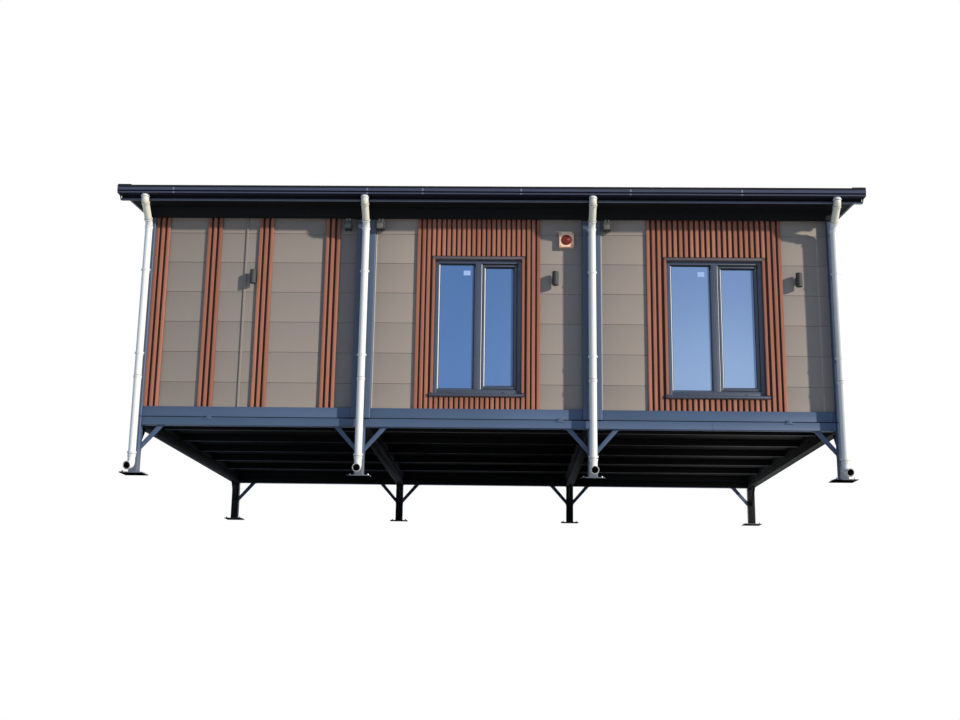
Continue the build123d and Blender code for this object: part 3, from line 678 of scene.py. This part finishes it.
def edges_along(part, axis):
    """The edges that run along "x", "y" or "z" for more than a millimetre."""
    runs = [(edge, edge.verts[0].co - edge.verts[1].co) for edge in part.edges]
    return [edge for edge, run in runs if abs(getattr(run, axis)) > 1]


def rounded(part, edges, width, segments=2):
    ops.bevel(
        part, geom=edges, offset=width, offset_type="OFFSET", segments=segments,
        profile=0.5, affect="EDGES", clamp_overlap=True, material=-1,
    )


def bar(corner, opposite, ease=0, segments=2):
    """A block between two corners with its edges rounded."""
    part = bmesh.new()
    ops.create_cube(part, size=1)
    low = Vector([*map(min, corner, opposite)])
    high = Vector([*map(max, corner, opposite)])
    ops.scale(part, vec=high - low, verts=part.verts)
    ops.translate(part, vec=(low + high) / 2, verts=part.verts)
    if ease:
        rounded(part, part.edges[:], ease, segments)
    return part


def blocks(whole, x, ease, *sizes, segments=2):
    """Adds blocks centred on one X: each has a half width, two limits in Y and two in Z."""
    for half, y0, y1, z0, z1 in sizes:
        laid_in(whole, bar((x - half, y0, z0), (x + half, y1, z1), ease, segments))


def drawn(outline, x0, x1, ease=0):
    """A section of (y, z) points drawn out along X, as a folded sheet is."""
    part = bmesh.new()
    section = part.faces.new([part.verts.new((x0, y, z)) for y, z in outline])
    made = ops.extrude_face_region(part, geom=[section], use_keep_orig=True)["geom"]
    ops.translate(part, vec=(x1 - x0, 0, 0), verts=only(VERT, made))
    outward(part)
    if ease:
        rounded(part, edges_along(part, "x"), ease)
    return part


def push(body, ring, step):
    """Draws a ring of edges out straight and gives the ring at the far end."""
    made = ops.extrude_edge_only(body, edges=ring)["geom"]
    ops.translate(body, vec=step, verts=only(VERT, made))
    return only(EDGE, made)


def framed(x0, x1, z0, z1, section):
    """A mitred frame in the front plane: its section is a loop of (inward, y) pairs."""
    part = bmesh.new()
    loop = ops.create_circle(part, segments=4, radius=0.5 ** 0.5)["verts"]
    square = Matrix.Rotation(radians(90), 4, "X") @ Matrix.Rotation(radians(45), 4, "Z")
    ops.transform(part, matrix=square, verts=loop)

    def size_at(inward, y):
        spread = Matrix.Diagonal((x1 - x0 - 2 * inward, 1, z1 - z0 - 2 * inward, 1))
        return at((x0 + x1) / 2, y, (z0 + z1) / 2) @ spread

    last = size_at(*section[0])
    ops.transform(part, matrix=last, verts=loop)
    first = ring = part.edges[:]
    for inward, y in section[1:]:
        ring = push(part, ring, (0, 0, 0))
        here = size_at(inward, y)
        moved = list({vert for edge in ring for vert in edge.verts})
        ops.transform(part, matrix=here @ last.inverted(), verts=moved)
        last = here
    ops.bridge_loops(part, edges=first + ring)
    return outward(part)


def flipped(whole):
    """Adds a mirror image across the long middle line, for the back of the house."""
    ops.mirror(whole, geom=whole.verts[:] + whole.edges[:] + whole.faces[:],
               matrix=Matrix.Identity(4), merge_dist=0, axis="Y")
    return outward(whole)


print("bench tools ready")

# %% [markdown]
# ## Lines and levels
# X runs along the front, Y to the back and Z up. The new parts are set out from a few
# faces and levels, as from a builder's drawing.

# %% Set out the house
BOTH = (-1, 1)
FORWARD = (0, -1, 0)
plate_top, beam_foot, beam_top = 12, 640, 745
rail_foot, floor_level, wall_top, frame_top = 755, 890, 3495, 3610
wall_face, column_face, column_back = -3000, -3080, -2960
post_y, post_half = -3020, 60
post_lines = [-4545, -1635, 1365, 4545]
post_tops = [beam_top, beam_foot, beam_foot, beam_top]
column_lines = [-4545, -1700, -1570, 1300, 1430, 4545]
roof_fall = tan(radians(4.5))
print("posts at", post_lines)

# %% [markdown]
# ## Columns and posts
# Square hollow steel is rolled from strip, so its corners turn on a radius of 12 mm that
# catches the low sun as a thin bright line. The ends stay square.

# %% Roll the columns


def rolled(x, foot, head):
    part = bar((x - post_half, column_face, foot), (x + post_half, column_back, head))
    rounded(part, edges_along(part, "z"), 12, 5)
    return part


columns = bmesh.new()
for x in column_lines:
    laid_in(columns, rolled(x, rail_foot, frame_top))
fitted("rolled_columns", flipped(columns), steel, "frame_steel", "corner_columns")

posts = bmesh.new()
for x, top in zip(post_lines, post_tops):
    laid_in(posts, rolled(x, plate_top, top))
fitted("rolled_posts", flipped(posts), steel, "frame_steel", "support_posts")

# %% [markdown]
# ## Foot bolts, brace plates and weld beads
# An anchor bolt shows a washer, a six-sided nut and the end of the thread. The braces
# meet posts and beams on small plates, and a low weld bead runs where steel meets steel.

# %% Anchor bolts
bolt_reach = 115


def anchor():
    """Washer and nut on a threaded end, from the top of the foot plate up."""
    whole = turned([(0, 2), (17, 2), (18, 1.5), (18, 0)], 20)
    nut = bmesh.new()
    ops.create_cone(nut, cap_ends=True, segments=6, radius1=13.5, radius2=13.5, depth=12)
    rounded(nut, nut.edges[:], 1.2)
    laid_in(whole, nut, at(0, 0, 8))
    laid_in(whole, turned([(0, 24), (6.2, 24), (7.8, 22.5), (7.8, 0)], 16))
    return whole


bolts = bmesh.new()
for x, rows in zip(post_lines, (BOTH, (0,), (0,), BOTH)):
    for side in BOTH:
        for row in rows:
            spot = at(x + side * bolt_reach, post_y + row * bolt_reach, plate_top)
            laid_in(bolts, anchor(), spot)
fitted("anchor_bolts", flipped(bolts), zinc, "foot_steel")

# %% Plates and welds
weld_half, weld_height = 65.5, 7
stiffener_lines, clamp_lines = (-3615, -1150, 2907), (-3615, 946, 3884)


def bead_round(x, foot):
    """A weld bead round the foot or the head of a post."""
    part = bar((x - weld_half, post_y - weld_half, foot),
               (x + weld_half, post_y + weld_half, foot + weld_height))
    rounded(part, edges_along(part, "z"), 16, 4)
    rounded(part, part.edges[:], 2)
    return part


plates = bmesh.new()
for x, sides in zip(post_lines, ((1,), BOTH, BOTH, (-1,))):
    laid_in(plates, bead_round(x, plate_top))
    for side in sides:
        face = x + side * post_half
        for near, far, foot_z, head_z in ((0, 6, 305, 412), (197, 298, 634, beam_foot)):
            laid_in(plates, bar((face + side * near, -3038, foot_z),
                                (face + side * far, -2982, head_z), 2))
for x in post_lines[1:3]:
    laid_in(plates, bead_round(x, beam_foot - weld_height))
for x in stiffener_lines:
    blocks(plates, x, 1.5, (4, -3062.5, -3059, 642, 743))
for x in clamp_lines:
    blocks(plates, x, 2, (55, -3066, -3059, 722, 742), (45, -3046, -3039, 757, 775))
    blocks(plates, x, 3, (30, -3062, -3041, 735, 762))
fitted("plates_and_welds", flipped(plates), steel, "frame_steel")

# %% [markdown]
# ## Backing and edge trims
# A flat strip of rib backing, painted almost black as shade like the grooves, closes the gap
# between two fluted boards, and a thin strip of bare aluminium the wall board's edge beside
# each middle pair of columns.

# %% Close the gaps
rib_face, rib_gaps = 43, 24
opening_foot, opening_head = 1058, 2956
backing = bmesh.new()
for x0, width in ((-955, 1640), (2095, 1785)):
    pitch = (width - rib_face) / rib_gaps
    for near, far, foot_z, head_z in (
        (2 * pitch + rib_face, 3 * pitch, floor_level, wall_top),
        (3 * pitch, 3 * pitch + 8, opening_foot, opening_head),
    ):
        for start, stop in ((near, far), (width - far, width - near)):
            laid_in(backing, bar((x0 + start, -3005.5, foot_z), (x0 + stop, -2999.5, head_z)))
fitted("rib_backing", flipped(backing), slat, "slats")

# %% Close the board edges
trims = bmesh.new()
for x in (-1505.75, 1494.25):
    blocks(trims, x, 2.5, (3.75, -3013, -2999, 892, 3458), segments=3)
fitted("board_edge_trims", trims, bare, "cladding")

# %% [markdown]
# ## Windows
# Each window has a fixed pane on the left and an opening sash on the right, which stands
# back in its frame behind a black seal. A sloping bead holds each pane, and a pale strip on
# its left slope is a painted highlight. Beads and seals are square loops pushed from point to
# point.

# %% Beads and seals
windows = [(-713.4, 443.4, -1), (2354.7, 3620.3, -1), (2354.7, 3620.3, 1)]
window_foot, window_top = 1100, 2922
frame_bar, sash_bar, mullion_half = 50, 40, 38
beads, seals, jamb_highlights = bmesh.new(), bmesh.new(), bmesh.new()


def highlight_on(xa, ya, xb, yb, z0, z1, side):
    """A pale strip on the slope of a jamb, a painted highlight, from one edge of it to the
    other.
    """
    along = Vector((xb - xa, yb - ya, 0))
    half = along.length / 2 - 1
    part = bar((-half, -0.6, z0), (half, 0.6, z1))
    turn = Matrix.Rotation(atan2(along.y, along.x), 4, "Z")
    off = Vector((along.y, -along.x, 0)).normalized() * 0.5
    middle = Vector(((xa + xb) / 2, (ya + yb) / 2, 0)) + off
    laid_in(jamb_highlights, part, at(*middle) @ turn, side)


def glazing(x0, x1, z0, z1, face, glass, side):
    """The sloping bead and the rubber line round one pane."""
    slope = [(-1, face + 2), (-1, face - 1.2), (3, face - 1.2), (17, glass - 4), (17, glass + 2)]
    line = [(16, glass + 2), (16, glass - 3.4), (19.5, glass - 2.5),
            (23.5, glass - 0.8), (23.5, glass + 2)]
    laid_in(beads, framed(x0, x1, z0, z1, slope), side=side)
    laid_in(seals, framed(x0, x1, z0, z1, line), side=side)
    highlight_on(x0 + 3, face - 1.2, x0 + 17, glass - 4, z0 + 18, z1 - 18, side)


rebate = [(-1, -2985), (-1, -2989.2), (2, -2989.2), (11, -2977), (11, -2972)]
gap = [(10, -2972), (10, -2976.5), (15, -2977.2), (20.5, -2976.5), (20.5, -2972)]
rim = [(-0.5, -2970), (-0.5, -2989.3), (3.5, -2989.3), (6, -2987), (6, -2970)]
for x0, x1, side in windows:
    middle = (x0 + x1) / 2
    z0, z1 = window_foot + frame_bar, window_top - frame_bar
    glazing(x0 + frame_bar, middle - mullion_half, z0, z1, -2988, -2966, side)
    left, right = middle + mullion_half, x1 - frame_bar
    glazing(left + sash_bar, right - sash_bar, z0 + sash_bar, z1 - sash_bar, -2974, -2952, side)
    laid_in(beads, framed(left, right, z0, z1, rebate), side=side)
    highlight_on(left + 2, -2989.2, left + 11, -2977, z0 + 12, z1 - 12, side)
    laid_in(seals, framed(left, right, z0, z1, gap), side=side)
    laid_in(seals, framed(x0, x1, window_foot, window_top, rim), side=side)
fitted("glazing_beads", beads, bead, "window_frame")
fitted("window_seals", seals, seal, "window_frame")
fitted("jamb_highlight_strips", jamb_highlights, jamb_highlight, "window_frame")

# %% [markdown]
# ## Window furniture
# Hinges sit on the right of each sash, caps cover the drain slots and close the sill, and
# a blank square of film is still on each fixed pane in front.

# %% Hinges, caps and film


def hinge(half, radius, ease, waist):
    """A hinge knuckle: two turned barrels with a fine line between them."""
    barrel = [(0, half), (radius - ease, half), (radius, half - ease), (radius, 2)]
    lower = [(r, -z) for r, z in reversed(barrel)]
    return turned([*barrel, (waist, 0), *lower], 16)


furniture, caps, films = bmesh.new(), bmesh.new(), bmesh.new()
for x0, x1, side in windows:
    width, height = x1 - x0, window_top - window_foot
    for share in (0.12, 0.88):
        spot = at(x1 - frame_bar, -2992, window_foot + share * height)
        laid_in(furniture, hinge(45, 9, 1.5, 8.2), spot, side)
    for share in (0.2, 0.8):
        x = x0 + share * width
        cover = bar((x - 20, -2993.5, window_foot + 12), (x + 20, -2986, window_foot + 24), 3)
        laid_in(furniture, cover, side=side)
    for x in (x0 - 40.5, x1 + 37.5):
        end_cap = bar((x, -3058, 1058), (x + 3, -3001, 1100.5), 1)
        laid_in(caps, end_cap, side=side)
    if side < 0:
        blocks(films, x0 + 0.367 * width, 0, (45, -2966.8, -2965.8, 2713, 2778))
fitted("window_furniture", furniture, foil, "window_frame")
fitted("sill_caps", caps, sill_coat, "sill")
fitted("blank_film", films, tag, "glass")

# %% [markdown]
# ## Back door
# The plain door has three hinges, a lock cylinder, a metal threshold and a rubber line
# all round the leaf.

# %% Door furniture
fixings = bmesh.new()
for z in (1150, 1900, 2680):
    laid_in(fixings, hinge(50, 10.5, 2, 9.5), at(-663, 2992, z))
rose = turned([(0, 10), (6, 10), (6, 8), (20, 8), (24, 5), (25, 0)], 28)
laid_in(fixings, rose, facing((333, 2980, 1640), (0, 1, 0)))
fitted("door_fixings", fixings, brushed, "handle")

threshold = bar((-660, 2930, 890.5), (390, 3012, 905), 3)
fitted("door_threshold", threshold, sill_coat, "door")
leaf_line = [(0, -2975), (0, -2981.5), (4, -2983), (7, -2981.5), (7, -2975)]
leaf_seal = bmesh.new()
laid_in(leaf_seal, framed(-663, 393, 875, 2950, leaf_line), side=1)
fitted("door_seal", leaf_seal, seal, "door")

# %% [markdown]
# ## Gutter
# One folded section makes it: an underside, a groove, the tall face and a rolled bead on
# top. The ends are capped, straps tie front to back, and sleeves cover the joints.

# %% The gutter
gutter_end, wall_to_lip, strap_pitch = 4905, 15, 600
section = [
    (-3351.5, 3665), (-3479, 3665), (-3481, 3667), (-3481, 3684), (-3470, 3687),
    (-3470, 3700), (-3488.5, 3704), (-3488.5, 3742), (-3483, 3744.5), (-3483, 3748),
    (-3489, 3752), (-3490, 3757), (-3490, 3768), (-3487.5, 3773), (-3483, 3775),
    (-3470, 3775), (-3466, 3771), (-3466, 3669), (-3355.5, 3669), (-3355.5, 3775),
    (-3351.5, 3775),
]
plate = [(-3484, 3665.5), (-3484, 3775.5), (-3351.5, 3775.5), (-3351.5, 3665.5)]
gutter = drawn(section, -gutter_end, gutter_end)
for side in BOTH:
    for outline, x, half, ease in ((section[:wall_to_lip] + section[-1:], 4903, 2, 0),
                                   (plate, 4900, 4, 1)):
        laid_in(gutter, drawn(outline, side * x - half, side * x + half, ease))
    blocks(gutter, side * 4857.5, 3, (42.5, -3488, -3400, 3775.5, 3785))
for step in range(17):
    blocks(gutter, -4800 + strap_pitch * step, 1, (12.5, -3472, -3353, 3768, 3771))
fitted("stepped_gutter", gutter, trough, "roof_edge", "gutter")

# Painted highlight: the sleeves take the pale drip finish, as light lines at the joints.
sleeves = bmesh.new()
sleeve_lines = (-4160, -1600, -870, 420, 1850, 3300)
for x in sleeve_lines:
    blocks(sleeves, x, 0.8, (11, -3490, -3486.5, 3704.5, 3741.5),
           (11, -3482.5, -3479.5, 3664.5, 3683.5))
fitted("gutter_sleeves", sleeves, drip_highlight, "roof_edge")

# %% [markdown]
# ## Edges of the roof
# A drip runs along the foot of the fascia and an edging along the foot of the apron. The
# verge boards turn in over the sheet. They are drawn level, then sheared to the pitch.

# %% Drips and verge boards
fascia_foot = [(-3349, 3634), (-3351.5, 3634), (-3359, 3612), (-3359, 3603.5), (-3349, 3603.5)]
fitted("fascia_drip", drawn(fascia_foot, -4895, 4895, 0.8), drip_highlight, "roof_edge")
end_plates = bmesh.new()
end_outline = [(-3350, 3604), (-3358.5, 3604), (-3358.5, 3612), (-3420, 3664), (-3350, 3664)]
for side in BOTH:
    x = side * 4890
    laid_in(end_plates, drawn(end_outline, x - 3, x + 3, 1))
fitted("fascia_end_plates", end_plates, fascia, "roof_edge")
# Painted shade: the apron edging under the eave takes the near-black slab finish.
apron_foot = [(-3090, 3484), (-3093.5, 3484), (-3094.5, 3459), (-3078, 3459),
              (-3078, 3460.5), (-3090, 3460.5)]
fitted("apron_edging", drawn(apron_foot, -4605, 4605), slab, "soffit")

fold = [(4870, 0), (4870, 154.5), (4776, 154.5), (4776, 122), (4779, 122),
        (4779, 151.5), (4851, 151.5), (4851, 3), (4838, 3), (4838, 0)]
verge_front, verge_back, verge_foot = -3330, 3490, 3689
verges = bmesh.new()
for side in BOTH:
    verge = drawn(fold, verge_front, verge_back)
    rise = verge_foot - verge_front * roof_fall
    stand = Matrix(((0, side, 0, 0), (1, 0, 0, 0), (roof_fall, 0, 1, rise), (0, 0, 0, 1)))
    ops.transform(verge, matrix=stand, verts=verge.verts)
    laid_in(verges, outward(verge))
fitted("folded_verges", verges, eave, "roof_edge", "barge_boards")

# %% [markdown]
# ## Roof screws and the top flashing
# Six rows of screws on rubber washers hold the sheet down through its ribs, and a folded
# flashing covers the ends of the ribs at the high side.

# %% Screws and flashing
first_row, row_pitch, first_rib, rib_pitch = -3180, 1300, -4625, 250
screws = bmesh.new()
for row in range(6):
    y = first_row + row_pitch * row
    z = 3800 + (y - verge_front) * roof_fall
    for rib in range(38):
        head = turned([(0, 6.2), (4.5, 5.5), (4.8, 2.2), (8.5, 1.8), (9.5, 0)], 8)
        laid_in(screws, head, at(first_rib + rib_pitch * rib, y, z))
fitted("roof_screws", screws, zinc, "roof_sheet")

folded = [(3489.5, 4200), (3489.5, 4349), (3360, 4339), (3360, 4325.5),
          (3362.5, 4325.5), (3362.5, 4336.5), (3487, 4346.2), (3487, 4200)]
fitted("top_flashing", drawn(folded, -4776, 4776), eave, "roof_edge")

# %% [markdown]
# ## Rainwater pipes
# Four white plastic pipes drop from the gutter, swing back to their columns on two 45
# degree bends, run down to the foot and end in a shoe that throws the water forward. A
# ring of edges is pushed along the straight runs and spun about a centre at each bend.

# %% The pipes


def follow(body, ring, corners, bend_radii):
    """Takes the ring along straight runs from corner to corner, rounding each corner."""
    spot = corners[0]
    for corner, after, bend_radius in zip(corners[1:], corners[2:], bend_radii):
        ahead = (corner - spot).normalized()
        onward = (after - corner).normalized()
        turn = ahead.angle(onward)
        cut = bend_radius * tan(turn / 2)
        ring = push(body, ring, corner - spot - ahead * cut)
        side = (onward - ahead * onward.dot(ahead)).normalized()
        centre = corner - ahead * cut + side * bend_radius
        bend = ops.spin(body, geom=ring, cent=centre, axis=ahead.cross(onward), angle=turn,
                        steps=8)
        ring = only(EDGE, bend["geom_last"])
        spot = corner + onward * cut
    return push(body, ring, corners[-1] - spot)


shoe_turns = [-14, -4, 4, 14]
pipe_radius = 48
pipe_y, outlet_y = -3167, -3420
pipe_top, pipe_knee, shoe_z, shoe_fall, shoe_reach = 3665, 3590, 80, 18, 105


def collar(length):
    """A socket: the wider mouth of the pipe length below, with a rounded rim."""
    half = length / 2
    inner, lip = pipe_radius - 2, pipe_radius + 7.2
    ease, barrel = pipe_radius + 4.32, pipe_radius + 5.04
    return turned([
        (inner, half), (ease, half), (lip, half - 3), (lip, half - 10),
        (barrel, half - 14), (barrel, -half + 10), (pipe_radius, -half), (inner, -half),
    ])


def downpipe(x, turn):
    """One pipe with its sockets, the lining of its mouth, and the seals in the sockets."""
    body = bmesh.new()
    side, forward = shoe_reach * sin(radians(turn)), shoe_reach * cos(radians(turn))
    corners = [Vector(corner) for corner in (
        (x, outlet_y, pipe_top), (x, outlet_y, pipe_knee),
        (x, pipe_y, pipe_knee + outlet_y - pipe_y), (x, pipe_y, shoe_z + shoe_fall),
        (x + side, pipe_y - forward, shoe_z),
    )]
    first = ops.create_circle(body, segments=32, radius=pipe_radius)["verts"]
    ops.translate(body, vec=corners[0], verts=first)
    ring = follow(body, body.edges[:], corners, (70, 70, 46))
    top, knee, heel, toe, mouth = corners
    out = (mouth - toe).normalized()
    ring = push(body, ring, (0, 0, 0))
    rim = list({vert for edge in ring for vert in edge.verts})
    ops.scale(body, vec=(0.9, 0.9, 0.9), space=at(*-mouth), verts=rim)
    push(body, ring, -out * 20)
    outward(body)
    slope = (heel - knee).normalized()
    up = Vector((0, 0, 1))
    places = [
        (top - up * 22, -up, 30),
        (knee + slope * 52, -slope, 34),
        (heel - slope * 70, -slope, 34),
        (heel - up * 52, up, 38),
        (Vector((x, pipe_y, 1244)), up, 44),
        (Vector((x, pipe_y, 215)), up, 36),
        (mouth - out * 13, out, 24),
    ]
    rings = bmesh.new()
    for spot, direction, length in places:
        laid_in(body, collar(length), facing(spot, direction))
        thin = turned([(pipe_radius - 1, 5), (pipe_radius + 2.2, 5),
                       (pipe_radius + 3, 0), (pipe_radius - 1, 0)])
        laid_in(rings, thin, facing(spot + direction * length / 2, direction))
    hole = turned([(0, -36), (30, -36), (42.8, -30), (43.1, -1.2)], 32)
    ops.reverse_faces(hole, faces=hole.faces)
    ops.transform(hole, matrix=facing(mouth, out), verts=hole.verts)
    return body, hole, rings


pipes, mouths, socket_seals = bmesh.new(), bmesh.new(), bmesh.new()
for x, turn in zip(post_lines, shoe_turns):
    for whole, part in zip((pipes, mouths, socket_seals), downpipe(x, turn)):
        laid_in(whole, part)
fitted("rainwater_pipes", pipes, plastic, "pipe_white", "downpipes")
fitted("pipe_mouths", mouths, bore_shade, "pipe_white")
fitted("socket_seals", socket_seals, joint_grey, "pipe_white")

# %% [markdown]
# ## Pipe clips
# A two-part plastic band holds each pipe off its column. Two screwed ears close it, and a
# stem and a strap carry it.

# %% The clips
clip_levels = (260, 1567, 2700)
screw_head = [(0, 4), (4, 3.5), (5.5, 1), (5.5, 0)]


def pipe_band(x, z):
    whole = turned([
        (47.8, 13), (52.5, 13), (54.5, 11), (53.2, 8), (53.2, -8),
        (54.5, -11), (52.5, -13), (47.8, -13),
    ])
    ops.translate(whole, vec=(x, pipe_y, z), verts=whole.verts)
    blocks(whole, x, 2, (7, pipe_y + 50, -3082, z - 11, z + 11))
    blocks(whole, x, 1.5, (30, -3084, column_face, z - 13, z + 13))
    front, back = pipe_y - 6, pipe_y + 6
    for side in BOTH:
        ear = x + side * 55.5
        blocks(whole, ear, 2, (6, front, back, z - 12, z + 12))
        laid_in(whole, turned(screw_head, 12), facing((ear, front, z), FORWARD))
    return whole


bands = bmesh.new()
for x in post_lines:
    for z in clip_levels:
        laid_in(bands, pipe_band(x, z))
fitted("pipe_bands", bands, plastic, "pipe_white", "pipe_clips")

# %% [markdown]
# ## Wall lights
# Each is an upright tube on a short arm, turned with a dark recess and a glass at each
# end, so that it reads as hollow from below.

# %% The lights
light_lines, light_z, light_y = (-3131, 883, 4086), 2645, -3078
tube_end = [(0, 80), (34, 80), (36, 91.5), (39.5, 92.5), (42, 90)]
tube = tube_end + [(radius, -height) for radius, height in reversed(tube_end)]
lights, glasses = bmesh.new(), bmesh.new()
for x in light_lines:
    laid_in(lights, turned(tube, 40), at(x, light_y, light_z))
    blocks(lights, x, 3, (30, -3010, wall_face, light_z - 55, light_z + 55))
    blocks(lights, x, 4, (14, light_y, -3008, light_z - 30, light_z + 30))
    for end in BOTH:
        disc = turned([(0, 4), (26, 3), (31, 0)], 28)
        laid_in(glasses, disc, facing((x, light_y, light_z + end * 80.2), (0, 0, end)))
fitted("wall_light_tubes", lights, grey, "lamp_black", "wall_lights")
fitted("wall_light_glass", glasses, pearl, "lamp_black")

# %% [markdown]
# ## Lamps under the eave
# Three box lamps hang from the apron on pairs of studs. A raised rim frames the paler
# glass, and cooling fins stand across the back.

# %% Box lamps
lamp_lines, lamp_foot, lamp_head = (-1886, -1447, 1570), 3299, 3407
stud_y, apron_foot_z = -3086, 3460
lamp_rim = [(0, -3140), (0, -3157), (3, -3160), (7, -3160), (9, -3152), (9, -3140)]
stud = [(0, apron_foot_z), (6, apron_foot_z), (6, 3416.5), (10, 3416),
        (10.5, 3414.5), (10.5, 3408), (0, 3408)]
stud_nut = [(0, 0), (10, 0), (10.5, 1.5), (10.5, 6), (0, 6.5)]
housings, fronts, studs = bmesh.new(), bmesh.new(), bmesh.new()
for x in lamp_lines:
    blocks(housings, x, 6, (50, -3149, -3030, 3303, 3403), segments=3)
    blocks(housings, x, 2, (46, -3158, -3149, 3374, 3399))
    laid_in(housings, framed(x - 54, x + 54, lamp_foot, lamp_head, lamp_rim))
    for fin in range(5):
        blocks(housings, x - 40 + 20 * fin, 1, (2, -3033, -3011, 3308, 3398))
    blocks(fronts, x, 1.2, (44.5, -3153.5, -3148, 3309, 3373.5))
    for stud_x in (x - 21, x + 21):
        laid_in(studs, turned(stud, 12), at(stud_x, stud_y, 0))
        laid_in(studs, turned(stud_nut, 12), facing((stud_x, stud_y, 3458), (0, 0, -1)))
fitted("lamp_housings", housings, black, "lamp_black", "flood_lamps")
fitted("lamp_fronts", fronts, pearl, "lamp_black")
fitted("lamp_studs", studs, zinc, "lamp_black")

# %% [markdown]
# ## Alarm siren
# A square plastic cover with soft corners on a back plate, held by four screws. The rings
# of its red lens are cut in the lathe profile.

# %% Cover and lens
low, high = (corner * 1000 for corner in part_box("alarm_siren"))
siren_x, siren_z = (low.x + high.x) / 2, (low.z + high.z) / 2
cover_y = -3057.8
cover = bar((low.x, -3058, low.z), (high.x, -3004, high.z))
rounded(cover, edges_along(cover, "y"), 12, 5)
front_edge = [e for e in cover.edges if all(v.co.y < -3057 for v in e.verts)]
rounded(cover, front_edge, 6, 3)
back_plate = bar((low.x + 4, -3006, low.z + 4), (high.x - 4, wall_face, high.z - 4), 2)
laid_in(cover, back_plate)
lip = turned([(76, 0), (76, 1.4), (74, 2), (71, 2), (70, 0)], 48)
laid_in(cover, lip, facing((siren_x, cover_y, siren_z), FORWARD))
fitted("siren_cover", cover, shell, "siren_white", "alarm_siren")

cover_screws = bmesh.new()
for x in (siren_x - 79, siren_x + 79):
    for z in (siren_z - 79, siren_z + 79):
        head = turned([(0, 0.8), (3.5, 0.8), (4.5, 2), (6.5, 1.6), (7, 0)], 16)
        laid_in(cover_screws, head, facing((x, cover_y, z), FORWARD))
fitted("siren_screws", cover_screws, black, "siren_white")

dome = [(69.5, -2), (69.5, 4), (67, 6.2)]
for ring in range(7):
    radius = 65 - ring * 9
    rise = 6 + 14 * (1 - (radius / 67) ** 2)
    dome += [(radius, rise), (radius - 4.5, rise - 0.8)]
lens = turned([*dome, (0, 19.5)], 48)
ops.transform(lens, matrix=facing((siren_x, -3060, siren_z), FORWARD), verts=lens.verts)
fitted("siren_lens_rings", lens, red, "siren_red", "siren_lens", sharp=20)
